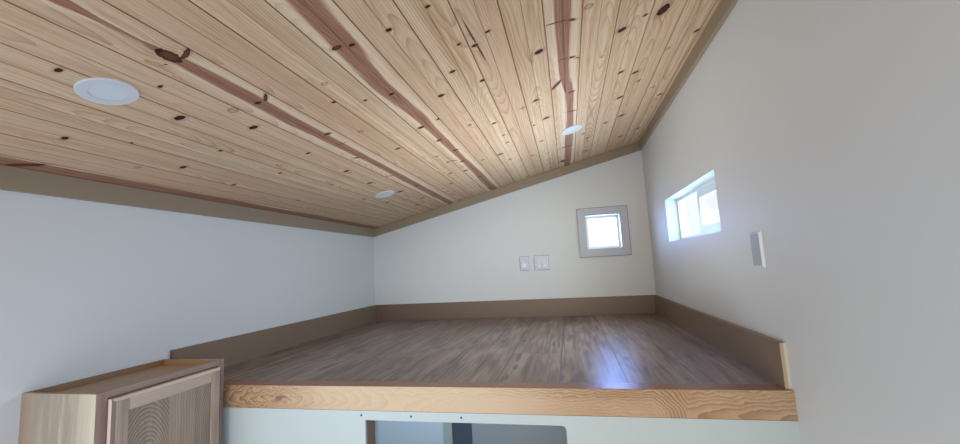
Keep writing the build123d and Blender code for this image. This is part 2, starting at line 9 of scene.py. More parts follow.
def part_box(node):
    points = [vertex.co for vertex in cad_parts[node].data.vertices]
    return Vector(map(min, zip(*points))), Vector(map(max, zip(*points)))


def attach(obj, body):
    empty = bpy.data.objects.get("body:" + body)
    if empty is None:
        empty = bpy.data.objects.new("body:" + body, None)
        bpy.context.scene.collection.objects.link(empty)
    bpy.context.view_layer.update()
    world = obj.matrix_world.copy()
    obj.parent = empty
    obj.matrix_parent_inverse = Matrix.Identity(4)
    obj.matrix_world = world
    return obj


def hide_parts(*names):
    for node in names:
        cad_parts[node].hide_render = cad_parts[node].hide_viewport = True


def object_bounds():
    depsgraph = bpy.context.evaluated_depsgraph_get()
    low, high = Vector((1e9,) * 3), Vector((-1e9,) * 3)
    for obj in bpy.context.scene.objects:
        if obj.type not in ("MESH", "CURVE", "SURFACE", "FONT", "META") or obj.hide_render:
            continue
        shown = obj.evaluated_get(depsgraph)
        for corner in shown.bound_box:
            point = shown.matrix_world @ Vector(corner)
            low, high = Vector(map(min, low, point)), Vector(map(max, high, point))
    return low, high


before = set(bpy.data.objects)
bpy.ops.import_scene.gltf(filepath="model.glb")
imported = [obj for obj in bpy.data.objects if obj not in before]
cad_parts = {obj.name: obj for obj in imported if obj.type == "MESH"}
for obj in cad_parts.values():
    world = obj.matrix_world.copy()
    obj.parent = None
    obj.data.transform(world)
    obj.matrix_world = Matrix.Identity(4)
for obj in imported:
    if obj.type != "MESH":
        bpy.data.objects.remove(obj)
cad_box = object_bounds()

# Viewpoint: a wide lens at head height in the room in front of the loft, nearer the high wall. Its
# place is measured from the low wall, the beam's face and the loft floor.
eye_from_low_wall = 1.720
eye_before_beam = 1.438
eye_above_loft = 0.426
eye_yaw = math.radians(12.14)
eye_pitch = math.radians(6.43)
eye_roll = math.radians(3.13)
eye_lens = 14.955

beam_low, beam_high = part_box("loft_beam")
low_wall, high_wall = beam_low.x, beam_high.x
beam_front, loft_level = beam_low.y, beam_high.z
end_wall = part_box("end_baseboard")[1].y
bay_front, bay_back = cad_box[0].y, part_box("end_siding")[1].y

camera = bpy.data.objects.new("camera", bpy.data.cameras.new("camera"))
bpy.context.scene.collection.objects.link(camera)
camera.data.lens = eye_lens
camera.location = (
    low_wall + eye_from_low_wall,
    beam_front - eye_before_beam,
    loft_level + eye_above_loft,
)
camera.rotation_euler = (
    Matrix.Rotation(eye_yaw, 3, "Z")
    @ Matrix.Rotation(math.pi / 2 + eye_pitch, 3, "X")
    @ Matrix.Rotation(-eye_roll, 3, "Z")
).to_euler()
bpy.context.scene.camera = camera
bpy.context.scene.view_settings.view_transform = "Standard"


# Studio: a pale floor, an even pale sky all round, and soft lamps in front of the open side and at
# the windows. None of it belongs to the house.
def srgb(red, green, blue):
    """A colour given as screen values, turned to the linear values that a shader takes."""
    return tuple(
        v / 12.92 if v <= 0.04045 else ((v + 0.055) / 1.055) ** 2.4
        for v in (red / 255, green / 255, blue / 255)
    )


def node(tree, kind, inputs=(), **settings):
    """Adds a shader node; an input takes a value or another node's output."""
    made = tree.nodes.new("ShaderNode" + kind)
    for key, value in settings.items():
        setattr(made, key, value)
    for key, value in dict(inputs).items():
        if isinstance(value, bpy.types.NodeSocket):
            tree.links.new(value, made.inputs[key])
        else:
            made.inputs[key].default_value = value
    return made


def math_of(tree, operation, first, second=0.0, third=0.0):
    """One arithmetic step on sockets or numbers."""
    return node(tree, "Math", {0: first, 1: second, 2: third}, operation=operation).outputs[0]


def material(name, roughness, **sockets):
    """A new material, its node tree and its shader."""
    made = bpy.data.materials.new(name)
    made.use_nodes = True
    shader = made.node_tree.nodes["Principled BSDF"]
    shader.inputs["Roughness"].default_value = roughness
    for key, value in sockets.items():
        shader.inputs[key.replace("_", " ")].default_value = value
    return made, made.node_tree, shader


def add_mesh(name, shape, *finishes):
    """Turns a bmesh into an object with its materials, and frees the bmesh."""
    data = bpy.data.meshes.new(name)
    shape.to_mesh(data)
    shape.free()
    piece = bpy.data.objects.new(name, data)
    bpy.context.scene.collection.objects.link(piece)
    for finish in finishes:
        data.materials.append(finish)
    return piece


floor_reach = 40.0
floor_finish, tree, shader = material("studio_floor", 0.9)
shader.inputs["Base Color"].default_value = (*srgb(228, 228, 228), 1)
ground = bmesh.new()
bmesh.ops.create_grid(ground, x_segments=1, y_segments=1, size=floor_reach)
add_mesh("studio_floor", ground, floor_finish)

sky_light = 1.05
world = bpy.data.worlds.new("studio")
world.use_nodes = True
bpy.context.scene.world = world
sky = world.node_tree
sky.nodes.clear()
rays = node(sky, "LightPath")
direct = math_of(sky, "MAXIMUM", rays.outputs["Is Camera Ray"], rays.outputs["Is Glossy Ray"])
seen = math_of(sky, "MAXIMUM", direct, rays.outputs["Is Transmission Ray"])
strength = node(sky, "Mix", {"Factor": seen, "A": sky_light, "B": 1.0})
backdrop = node(sky, "Background", {"Color": (1, 1, 1, 1), "Strength": strength.outputs[0]})
node(sky, "OutputWorld", {"Surface": backdrop.outputs[0]})


def lamp(name, kind, place, aim, power, colour, **settings):
    """A lamp that faces a point and doesn't show itself."""
    made = bpy.data.objects.new(name, bpy.data.lights.new(name, kind))
    bpy.context.scene.collection.objects.link(made)
    made.data.energy = power
    made.data.color = colour
    for key, value in settings.items():
        setattr(made.data, key, value)
    made.location = place
    made.rotation_euler = (Vector(aim) - Vector(place)).to_track_quat("-Z", "Y").to_euler()
    made.visible_camera = False
    return made


room_middle = (low_wall + high_wall) / 2
loft_middle = (beam_front + end_wall) / 2
outer_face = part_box("right_siding")[1].x
side_window_y = beam_front + 0.876
window_level = loft_level + 0.655
end_window_x = high_wall - 0.349
low_sun, sky_white, sky_pale = (1.0, 0.88, 0.67), (0.97, 1.0, 0.97), (0.74, 0.88, 1.0)
shade_blue, sky_violet, window_blue = (0.5, 0.74, 1.0), (0.2, 0.37, 1.0), (0.5, 0.85, 1.0)
dusk_blue, room_pale = (0.25, 0.5, 1.0), (0.69, 0.845, 1.0)
front_power, side_power, inner_power, end_power, glow_power = 1.2, 5.5, 5.7, 3.0, 6.6
ceiling_power, wall_power, room_power = 4.75, 1.3, 1.2
door_power, under_power = 7.2, 12.0
lamp(
    "front_lamp",
    "SUN",
    (room_middle, bay_front - 2.0, loft_level),
    (room_middle, bay_front, loft_level + 0.15),
    front_power,
    low_sun,
    angle=math.radians(25),
)
for name, place, aim, width, depth, power, colour, spread in (
    (
        "side_window_lamp", (outer_face + 0.002, side_window_y, window_level),
        (low_wall, side_window_y, window_level), 0.9, 0.28, side_power, window_blue, 180,
    ),
    (
        "inner_lamp", (high_wall - 0.01, side_window_y, window_level),
        (low_wall, side_window_y - 0.1, loft_level + 0.3), 0.85, 0.25, inner_power, sky_pale, 130,
    ),
    (
        "end_window_lamp", (end_window_x, bay_back + 0.002, window_level),
        (end_window_x, beam_front, window_level), 0.27, 0.27, end_power, sky_pale, 130,
    ),
    (
        "window_glow", (end_window_x, end_wall + 0.16, window_level),
        (end_window_x, beam_front, window_level), 0.27, 0.27, glow_power, sky_violet, 180,
    ),
    (
        "ceiling_fill", (room_middle + 0.40, loft_middle - 0.35, loft_level + 0.04),
        (room_middle + 0.45, loft_middle - 0.35, loft_level + 1.04), 1.0, 1.2, ceiling_power, sky_white, 110,
    ),
    (
        "wall_fill", (room_middle + 0.1, bay_front - 0.4, loft_level + 0.5),
        (low_wall + 0.75, end_wall, loft_level + 0.4), 0.8, 0.4, wall_power, shade_blue, 45,
    ),
    (
        "room_fill", (high_wall - 0.34, bay_front + 0.15, loft_level + 0.2),
        (low_wall, beam_front + 0.1, loft_level + 0.05), 1.0, 0.6, room_power, dusk_blue, 70,
    ),
    (
        "door_fill", (low_wall + 0.45, bay_front - 0.1, loft_level - 0.5),
        (high_wall, beam_front + 0.9, loft_level + 1.1), 0.9, 0.9, door_power, room_pale, 140,
    ),
    (
        "under_fill", (low_wall + 0.5, loft_middle - 0.2, loft_level - 0.35),
        (low_wall + 0.9, end_wall, loft_level - 0.6), 0.9, 0.3, under_power, shade_blue, 180,
    ),
):
    soft_lamp = lamp(name, "AREA", place, aim, power, colour, shape="RECTANGLE", size=width, size_y=depth)
    soft_lamp.data.spread = math.radians(spread)
    soft_lamp.visible_glossy = name == "window_glow"
    soft_lamp.visible_diffuse = name != "window_glow"


# Framing: sawn softwood studs, joists, rafters and plates, nailed at 406.4 mm centres. The growth
# rings are laid round a pith beside each stick, so faces show long figure and ends show arcs.
def place_on(tree, kind="Object"):
    """The X, Y and Z of a piece's own coordinates, or of its normal."""
    return node(tree, "SeparateXYZ", {0: node(tree, "TexCoord").outputs[kind]}).outputs


def stretched_noise(tree, scales, detail=2.0, distortion=0.0):
    """Noise on a piece's own coordinates, with its own scale along each axis."""
    coordinates = node(tree, "TexCoord").outputs["Object"]
    squeezed = node(tree, "Mapping", {"Vector": coordinates, "Scale": scales})
    kept = {"Vector": squeezed.outputs[0], "Scale": 1.0, "Detail": detail, "Distortion": distortion}
    return node(tree, "TexNoise", kept).outputs[0]


def growth_rings(tree, along, pith, gap, wander, spacing=0.0, seed=0.0):
    """Ring figure of sticks that run along one axis: 0 in early wood, rising to 1 in late wood."""
    split = place_on(tree)
    axes = {"X": ("Y", "Z"), "Y": ("X", "Z"), "Z": ("X", "Y")}[along]
    run, first, second = split[along], split[axes[0]], split[axes[1]]
    stick = math_of(tree, "MULTIPLY", seed, 7.31)
    if spacing:
        crossing = {"X": 0, "Y": 0, "Z": 1}[along]
        across = (first, second)[crossing]
        number = math_of(tree, "FLOOR", math_of(tree, "DIVIDE", across, spacing))
        local = math_of(tree, "WRAP", across, spacing, 0.0)
        first, second = (local, second) if crossing == 0 else (first, local)
        stick = math_of(tree, "MULTIPLY_ADD", number, 3.7, stick)
    place = node(tree, "CombineXYZ", {0: math_of(tree, "MULTIPLY", run, 1.3), 1: stick, 2: seed})
    drift = node(tree, "TexNoise", {"Vector": place.outputs[0], "Scale": 1.0, "Detail": 3.0})
    drifts = node(tree, "SeparateColor", {0: drift.outputs["Color"]})
    sides = []
    for socket, centre, channel in ((first, pith[0], "Red"), (second, pith[1], "Green")):
        moved = math_of(tree, "MULTIPLY_ADD", drifts.outputs[channel], wander, -wander / 2 - centre)
        sides.append(math_of(tree, "POWER", math_of(tree, "ADD", socket, moved), 2.0))
    radius = math_of(tree, "SQRT", math_of(tree, "ADD", *sides))
    ripple = stretched_noise(tree, [40 if axis != along else 4 for axis in "XYZ"], 3.0)
    rings = math_of(tree, "MULTIPLY_ADD", ripple, 0.5, math_of(tree, "DIVIDE", radius, gap))
    return math_of(tree, "POWER", math_of(tree, "FRACT", rings), 2.6)


def fibre(tree, along, scale=900.0, stretch=60.0):
    """Fine streaks along the grain, from 0 to 1."""
    return stretched_noise(tree, [scale if axis != along else scale / stretch for axis in "XYZ"])


def blend_colours(tree, factor, first, second, share=1.0):
    """Mixes two colours or colour sockets. The share is how far the factor counts."""
    if share != 1.0:
        factor = math_of(tree, "MULTIPLY", factor, share)
    made = node(tree, "Mix", {"Factor": factor}, data_type="RGBA")
    for key, value in ((6, first), (7, second)):
        if isinstance(value, bpy.types.NodeSocket):
            tree.links.new(value, made.inputs[key])
        else:
            made.inputs[key].default_value = (*value, 1)
    return made.outputs[2]


def coat(tree, shader, colour, height=None, depth=0.0):
    """Gives a finish its colour, and bump from a height that runs from 0 to 1."""
    tree.links.new(colour, shader.inputs["Base Color"])
    if height is not None:
        bump = node(tree, "Bump", {"Height": height, "Distance": depth, "Strength": 1.0})
        tree.links.new(bump.outputs[0], shader.inputs["Normal"])


def lumber_finish(name, along, early, late, gap=0.006, pith=(-0.02, -0.05), wander=0.05, spacing=0.0):
    """Sawn softwood that runs along one axis."""
    finish, tree, shader = material(name, 0.7)
    rings = growth_rings(tree, along, pith, gap, wander, spacing)
    fibres = fibre(tree, along)
    wood = blend_colours(tree, rings, early, late)
    shaded = blend_colours(tree, fibres, wood, late, 0.35)
    coat(tree, shader, shaded, math_of(tree, "ADD", rings, fibres), 0.0002)
    return finish


def dress(finish, *names):
    """Gives CAD nodes their finish."""
    for name in names:
        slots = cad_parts[name].data.materials
        slots.clear()
        slots.append(finish)


stud_spacing = 0.4064
early_wood = srgb(222, 192, 148)
late_wood = srgb(186, 142, 94)
dress(
    lumber_finish("framing_upright", "Z", early_wood, late_wood, spacing=stud_spacing),
    "left_wall_frame",
    "right_wall_frame",
    "end_wall_frame",
)
dress(
    lumber_finish("framing_across", "X", early_wood, late_wood, spacing=stud_spacing),
    "floor_frame",
    "rafters",
    "loft_joists",
)
dress(lumber_finish("framing_along", "Y", early_wood, late_wood), "loft_ledgers")
# The partition's studs are a darker brown: partly weathered wood, partly painted shade.
shaded_weathered_early, shaded_weathered_late = srgb(168, 148, 134), srgb(118, 98, 86)
dress(lumber_finish("framing_weathered_shaded", "Z", shaded_weathered_early, shaded_weathered_late, 0.012), "partition_frame")


# Sheets: a thin metal skin under the floor, plywood decks on the joists and rafters. They are laid
# in whole sheets with their face grain across what carries them, and screwed down.
sheet_length, sheet_width = 2.44, 1.22
sheet_gap = 0.0012
deck_face, deck_streak = srgb(206, 172, 126), srgb(176, 134, 88)

# Sheets are counted from this many sheets back, which keeps the joints off the bay's middle.
sheets_before = 40.37


def plywood_finish(name, along):
    """Rotary-cut plywood with open joints between its sheets."""
    finish, tree, shader = material(name, 0.65)
    figure = stretched_noise(tree, [9 if axis != along else 0.8 for axis in "XYZ"], 5.0, 1.5)
    fibres = fibre(tree, along, 500)
    wood = blend_colours(tree, figure, deck_face, deck_streak)
    wood = blend_colours(tree, fibres, wood, deck_streak, 0.3)
    split = place_on(tree)
    cross = "Y" if along == "X" else "X"
    gaps = []
    for axis, size in ((along, sheet_length), (cross, sheet_width)):
        from_first = math_of(tree, "ADD", split[axis], size * sheets_before)
        near = math_of(tree, "PINGPONG", from_first, size / 2)
        gaps.append(math_of(tree, "LESS_THAN", near, sheet_gap))
    joint = math_of(tree, "MAXIMUM", *gaps)
    wood = blend_colours(tree, joint, wood, srgb(70, 52, 38), 0.8)
    coat(tree, shader, wood, math_of(tree, "SUBTRACT", fibres, joint), 0.0004)
    return finish


dress(plywood_finish("deck_plywood", "X"), "floor_deck", "loft_subfloor")
dress(plywood_finish("roof_plywood", "Y"), "roof_deck")

skin_finish, tree, shader = material("underside_metal", 0.45, Metallic=0.8)
coordinates = node(tree, "TexCoord").outputs["Object"]
spangle = node(tree, "TexVoronoi", {"Vector": coordinates, "Scale": 60.0})
skin_colour = blend_colours(tree, spangle.outputs["Distance"], srgb(150, 152, 154), srgb(176, 178, 180))
coat(tree, shader, skin_colour)
dress(skin_finish, "floor_underside")


# Siding: painted wood-fibre sheets with upright grooves pressed in, nailed over the studs from the
# ground line up to the roof. The corner boards and fascias over their edges are painted taupe.
def clouds_of(tree, scale, detail=2.0):
    """Noise of one scale in every direction on a piece's own coordinates."""
    coordinates = node(tree, "TexCoord").outputs["Object"]
    return node(tree, "TexNoise", {"Vector": coordinates, "Scale": scale, "Detail": detail}).outputs[0]


def painted(name, colour, roughness=0.5, mottle=0.06, grain=260.0, depth=0.0001, along=None):
    """Paint with a slight cloud in its colour and the texture that its brush or roller leaves."""
    finish, tree, shader = material(name, roughness)
    darker = tuple(value * (1 - mottle) for value in colour)
    lighter = tuple(min(1.0, value * (1 + mottle)) for value in colour)
    clouded = blend_colours(tree, clouds_of(tree, 2.2, 4.0), darker, lighter)
    texture = fibre(tree, along, grain, 40) if along else clouds_of(tree, grain)
    coat(tree, shader, clouded, texture, depth)
    return finish


groove_spacing = 0.2032
groove_width = 0.009
groove_depth = 0.005
siding_finish = painted("siding_paint", srgb(214, 211, 200), 0.55, 0.03, 700.0, 0.0004, "Z")
trim_taupe = srgb(138, 122, 104)
outside_trim_finish = painted("outside_trim_paint", trim_taupe, 0.5, 0.04, 500.0, 0.0003, "Z")


def grooved_strip(shape, start, end, low, high, thickness):
    """An upright sheet from start to end, flat behind, with its grooved face towards +Y."""
    outline = [(start, 0.0), (start, thickness)]
    first = math.ceil((start + groove_width) / groove_spacing)
    last = math.floor((end - groove_width) / groove_spacing)
    for number in range(first, last + 1):
        middle = number * groove_spacing
        slope = groove_width / 4
        outline += [
            (middle - groove_width / 2, thickness),
            (middle - groove_width / 2 + slope, thickness - groove_depth),
            (middle + groove_width / 2 - slope, thickness - groove_depth),
            (middle + groove_width / 2, thickness),
        ]
    outline += [(end, thickness), (end, 0.0)]
    corners = [shape.verts.new((across, out, low)) for across, out in outline]
    base = shape.faces.new(corners)
    risen = bmesh.ops.extrude_face_region(shape, geom=[base])["geom"]
    top = [part for part in risen if isinstance(part, bmesh.types.BMVert)]
    bmesh.ops.translate(shape, verts=top, vec=(0, 0, high - low))


def siding_wall(name, node_name, width_axis, outward, hole=None, slope_cut=None):
    """Builds the grooved siding of one wall in the place of its CAD node."""
    low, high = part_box(node_name)
    start, end = low[width_axis], high[width_axis]
    thickness = high[1 - width_axis] - low[1 - width_axis]
    spans = [(start, end, low.z, high.z)]
    if hole:
        left, right, bottom, top = hole
        spans = [
            (start, left, low.z, high.z),
            (left, right, low.z, bottom),
            (left, right, top, high.z),
            (right, end, low.z, high.z),
        ]
    shape = bmesh.new()
    for span in spans:
        grooved_strip(shape, *span, thickness)
    if width_axis == 0:
        bmesh.ops.translate(shape, verts=shape.verts, vec=(0, low.y, 0))
    else:
        if outward > 0:
            bmesh.ops.scale(shape, vec=(-1, 1, 1), verts=shape.verts)
        turn = Matrix.Rotation(-outward * math.pi / 2, 4, "Z")
        bmesh.ops.transform(shape, matrix=turn, verts=shape.verts)
        lining_side = low.x if outward > 0 else high.x
        bmesh.ops.translate(shape, verts=shape.verts, vec=(lining_side, 0, 0))
    if slope_cut:
        point, normal = slope_cut
        geometry = shape.verts[:] + shape.edges[:] + shape.faces[:]
        bmesh.ops.bisect_plane(shape, geom=geometry, plane_co=point, plane_no=normal, clear_outer=True)
        bmesh.ops.holes_fill(shape, edges=[edge for edge in shape.edges if edge.is_boundary])
    bmesh.ops.recalc_face_normals(shape, faces=shape.faces)
    piece = add_mesh(name, shape, siding_finish)
    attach(piece, "bay")
    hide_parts(node_name)


roof_pitch = math.atan(2.75 / 12)
lining_thickness = 0.0127
rough_half_height = 0.135 + lining_thickness
side_rough_half = 0.448 + lining_thickness
end_rough_half = 0.133 + lining_thickness
window_rows = (window_level - rough_half_height, window_level + rough_half_height)
siding_wall("left_grooved_siding", "left_siding", 1, -1)
siding_wall(
    "right_grooved_siding",
    "right_siding",
    1,
    1,
    (side_window_y - side_rough_half, side_window_y + side_rough_half, *window_rows),
)
siding_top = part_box("end_siding")[1]
siding_wall(
    "end_grooved_siding",
    "end_siding",
    0,
    1,
    (end_window_x - end_rough_half, end_window_x + end_rough_half, *window_rows),
    (siding_top, (-math.sin(roof_pitch), 0, math.cos(roof_pitch))),
)
dress(outside_trim_finish, "corner_boards", "eave_fascias", "rake_fascia")

# Roof covering: ribbed steel sheets with a baked paint finish, laid up the slope over the plywood
# and fixed through the pans beside the ribs with washered screws.
roof_finish, tree, shader = material("roof_paint", 0.35, Metallic=0.35)
weather = clouds_of(tree, 3.0, 6.0)
roof_colour = blend_colours(tree, weather, srgb(146, 148, 150), srgb(164, 166, 168))
coat(tree, shader, roof_colour, weather, 0.0005)
dress(roof_finish, "roof_sheet")

screw_radius = 0.007
screw_height = 0.004
screw_rows = 6
rib_spacing = 0.2286
rib_foot = 0.060
screw_past_rib = rib_foot * 0.72
deck_thickness, pan_height = 0.0127, 0.0012
deck_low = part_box("roof_deck")[0]
pan_low = deck_low.z + deck_thickness / math.cos(roof_pitch) + pan_height
roof_low, roof_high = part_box("roof_sheet")
roof_length = roof_high.y - roof_low.y
rib_count = int(roof_length // rib_spacing)
rib_margin = (roof_length - (rib_count - 1) * rib_spacing) / 2
screws = bmesh.new()
for rib in range(rib_count):
    for row in range(screw_rows):
        share = (row + 0.5) / screw_rows
        x = roof_low.x + (roof_high.x - roof_low.x) * share
        rise = (x - deck_low.x) * math.tan(roof_pitch)
        y = roof_low.y + rib_margin + rib * rib_spacing + screw_past_rib
        place = Vector((x, y, pan_low + rise))
        set_up = Matrix.Translation(place) @ Matrix.Rotation(-roof_pitch, 4, "Y")
        bmesh.ops.create_cone(
            screws,
            cap_ends=True,
            segments=12,
            radius1=screw_radius,
            radius2=screw_radius * 0.8,
            depth=screw_height * 0.5,
            matrix=set_up,
        )
        head = set_up @ Matrix.Translation((0, 0, screw_height * 0.6))
        bmesh.ops.create_cone(
            screws,
            cap_ends=True,
            segments=6,
            radius1=screw_radius * 0.55,
            radius2=screw_radius * 0.5,
            depth=screw_height,
            matrix=head,
        )
roof_screws = add_mesh("roof_screws", screws, roof_finish)
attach(roof_screws, "bay")

# Walls: wallboard with its joints filled, rolled with flat off-white paint inside the room and
# round into the window openings.
wall_paint = srgb(211, 214, 216)
wall_finish = painted("wall_paint", wall_paint, 0.5, 0.012, 420.0, 0.00012)
dress(wall_finish, "left_lining", "right_lining", "end_lining")


# Ceiling: tongue and groove boards of knotty pine, clear finished, nailed up to the rafters along the
# room. Each has a joint at both edges and a groove along its middle. Four hold a band of heartwood.
def lay_board(shape, profile, start, end, rows, thickness, marks, values):
    """Adds a board whose face is at z = 0 and whose profile across is points of place and height.
    Marks are knots: place across, place along, half length, half width, turn and kind."""
    columns = len(profile) - 1
    made = bmesh.ops.create_grid(shape, x_segments=columns, y_segments=rows, size=1.0)["verts"]
    for vertex in made:
        across, height = profile[round((vertex.co.x + 1) / 2 * columns)]
        vertex.co = (across, start + (end - start) * (vertex.co.y + 1) / 2, height)
    for layer_name, value_at in values.items():
        layer = shape.verts.layers.float[layer_name]
        for vertex in made:
            vertex[layer] = value_at(vertex.co)
    layer = shape.loops.layers.float_vector["mark"]
    faces = {face for vertex in made for face in vertex.link_faces}

    def in_mark(mark, place):
        """A place in half lengths and half widths from a knot's middle."""
        across, along, half_length, half_width, turn = mark[:5]
        cosine, sine = math.cos(math.radians(turn)), math.sin(math.radians(turn))
        right, back = place.x - across, place.y - along
        lengthwise = (right * cosine + back * sine) / half_length
        return Vector((lengthwise, (back * cosine - right * sine) / half_width))

    for face in faces:
        centre = face.calc_center_median()
        nearest = min(marks, key=lambda mark: in_mark(mark, centre).length, default=None)
        if nearest and in_mark(nearest, centre).length > mark_reach:
            nearest = None
        for loop in face.loops:
            if nearest:
                loop[layer] = (*in_mark(nearest, loop.vert.co), nearest[3] + nearest[5])
            else:
                loop[layer] = (99.0, 99.0, 0.0)
    rim = [edge for face in faces for edge in face.edges if edge.is_boundary]
    skirt = bmesh.ops.extrude_edge_only(shape, edges=rim)["geom"]
    for part in skirt:
        if isinstance(part, bmesh.types.BMVert):
            part.co.z = -thickness
    back_rim = [part for part in skirt if isinstance(part, bmesh.types.BMEdge) and part.is_boundary]
    bmesh.ops.contextual_create(shape, geom=back_rim)


def new_boards(*value_names):
    """An empty bmesh with the values that its boards carry."""
    shape = bmesh.new()
    for value_name in value_names:
        shape.verts.layers.float.new(value_name)
    shape.loops.layers.float_vector.new("mark")
    return shape


def stepped(points, place):
    """Straight-line value between given points of place and value."""
    for (near, near_value), (far, far_value) in zip(points, points[1:]):
        if place <= far:
            share = max(0.0, (place - near) / (far - near))
            return near_value + (far_value - near_value) * share
    return points[-1][1]


def board_value(tree, name):
    """A value that each board's mesh carries."""
    return node(tree, "Attribute", attribute_name=name).outputs["Fac"]


def board_noise(tree, across, along, seed, across_scale, along_scale, detail=2.0, distortion=0.0):
    """Noise in a board's own coordinates, finer across it than along it."""
    scaled_across = math_of(tree, "MULTIPLY", across, across_scale)
    scaled_along = math_of(tree, "MULTIPLY", along, along_scale)
    place = node(tree, "CombineXYZ", {0: scaled_across, 1: scaled_along, 2: seed})
    kept = {"Vector": place.outputs[0], "Scale": 1.0, "Detail": detail, "Distortion": distortion}
    return node(tree, "TexNoise", kept).outputs[0]


def nudged(tree, value, noise, reach):
    """A value pushed to either side by noise, by half the reach at most."""
    return math_of(tree, "MULTIPLY_ADD", math_of(tree, "SUBTRACT", noise, 0.5), reach, value)


def ramp(tree, value, start, end, first=0.0, last=1.0):
    """A smooth step between two values while the input runs between two limits."""
    limits = {0: value, 1: start, 2: end, 3: first, 4: last}
    return node(tree, "MapRange", limits, interpolation_type="SMOOTHSTEP").outputs[0]


def distance_of(tree, first, second):
    """Distance from the middle of two places that are square to each other."""
    first, second = (math_of(tree, "MULTIPLY", value, value) for value in (first, second))
    return math_of(tree, "SQRT", math_of(tree, "ADD", first, second))


def knot_place(tree):
    """Place within the nearest knot, its half width in metres and its kind."""
    mark = node(tree, "Attribute", attribute_name="mark").outputs["Vector"]
    split = node(tree, "SeparateXYZ", {0: mark})
    size = math_of(tree, "FRACT", split.outputs[2])
    kind = math_of(tree, "FLOOR", split.outputs[2])
    return split.outputs[0], split.outputs[1], size, kind


board_pitch = 0.1275
first_joint = 0.089
board_thickness = 0.018
rafter_clearance = 0.0002
joint_half = 0.0018
joint_depth = 0.0024
bead_half = 0.0022
bead_depth = 0.0011
cell_length = 0.016
mark_reach = 5.5
round_knot, branch_knot, faint_knot = 0, 1, 2

# Knots that show, in millimetres: up the slope from the low wall, back from the beam's face, radius.
ceiling_knots = (
    (220, 570, 7), (230, 105, 9), (275, -565, 9), (275, -185, 11), (345, -430, 6),
    (440, 160, 7), (440, 955, 9), (465, -195, 7), (485, 1210, 11), (570, -450, 14), (580, -765, 8),
    (585, 1540, 10), (620, 700, 12), (640, 410, 12), (655, 75, 8), (660, 1060, 15), (670, -255, 13),
    (675, -595, 6), (690, 1400, 11), (960, 365, 10), (965, 1275, 11), (975, -215, 7),
    (1030, 1040, 10), (1065, -150, 6), (1070, 655, 7), (1090, 810, 9), (1125, 1090, 13),
    (1140, 230, 12), (1155, 445, 11), (1160, -125, 9), (1165, 1360, 11),
    (1160, 885, 12), (1187, -448, 8), (1180, 660, 12), (1235, 210, 9), (1270, 995, 8),
    (1305, -445, 8), (1310, 20, 11), (1335, 395, 7), (1385, 1000, 14), (1400, -115, 9),
    (1425, 1180, 10), (1435, -470, 6), (1445, 480, 10), (1460, 690, 7), (1460, 830, 8),
    (1465, -255, 6), (1485, 25, 10), (1510, -215, 9), (1565, -260, 7), (1570, 1260, 8),
    (1635, 705, 7), (1655, 1020, 9), (1670, 390, 11), (1705, 660, 14), (1715, -25, 14),
    (1925, 1165, 10), (1960, 1290, 10), (1960, 1615, 12),
    (2030, 45, 14), (2065, 1095, 12), (2075, 420, 11), (2110, 5, 7), (2110, 740, 14),
    (2150, 480, 12), (2160, 1060, 15), (2175, 15, 24), (2185, 600, 8),
    (2210, 1535, 12), (2330, 1485, 12), (2360, 915, 11), (2370, 280, 10), (799, -698, 8), (794, -371, 9),
)
ceiling_faint_knots = (
    (710, -385, 15), (195, -295, 9), (1895, -180, 13), (1970, 200, 8), (1970, 650, 8), (2265, 350, 13),
    (2120, 1230, 10), (1015, -330, 10), (480, 520, 12), (925, 60, 11), (1600, 420, 12), (2290, 760, 11),
)
# Branches cut along their length: place as above, half length, half width and turn in degrees.
ceiling_branches = (
    (798, -671, 33, 19, 90), (831, -655, 30, 7, -25), (780, -648, 22, 3, 18), (832, -381, 25, 6, -46),
    (750, 697, 22, 5, 40), (766, 298, 14, 6, 40), (800, 103, 26, 3, 4), (817, -22, 14, 10, 0),
    (783, 1060, 14, 10, 0), (777, 1420, 12, 10, 0), (1115, 1090, 18, 7, 0), (1120, 815, 26, 5, 40),
    (1146, -462, 16, 9, 0), (1170, -455, 14, 3, 8), (1781, 1697, 18, 30, 0), (1812, 1330, 32, 9, 0),
    (1846, 690, 28, 6, 22), (1841, 439, 17, 8, 0), (1772, 306, 40, 9, -57), (1811, 380, 85, 2.5, 87),
    (1808, 97, 18, 3, 8), (1838, 107, 17, 7, 22), (1862, 126, 14, 4, 45), (1786, -162, 38, 3, 11),
    (1837, -145, 18, 6, 25), (50, -530, 44, 12, 50), (1516, -228, 130, 3, 86),
)
ceiling_marks = [
    (up, back, size * 1.3, size * 0.85, -72.0 if size > 20 else min(0.0, (1000 - up) * 0.022), round_knot)
    for up, back, size in ceiling_knots
]
ceiling_marks += [(up, back, size * 1.2, size, 0.0, faint_knot) for up, back, size in ceiling_faint_knots]
ceiling_marks += [(*branch, branch_knot) for branch in ceiling_branches]

# Knots nearer the bay's open side than the viewpoint takes in, scattered by chance.
hidden_knots = random.Random(11)
hidden_knot_count = 26
for number in range(hidden_knot_count):
    up = hidden_knots.uniform(120, 2330)
    nearest_seen = -560 - 0.52 * up if up < 720 else -936 + 0.62 * (up - 720)
    size = hidden_knots.uniform(6, 14)
    back = nearest_seen - hidden_knots.uniform(40, 500)
    ceiling_marks.append((up, back, size * 1.25, size * 0.85, 0.0, round_knot))
ceiling_marks = [
    (up / 1000, back / 1000, long / 1000, wide / 1000, turn, kind)
    for up, back, long, wide, turn, kind in ceiling_marks
]

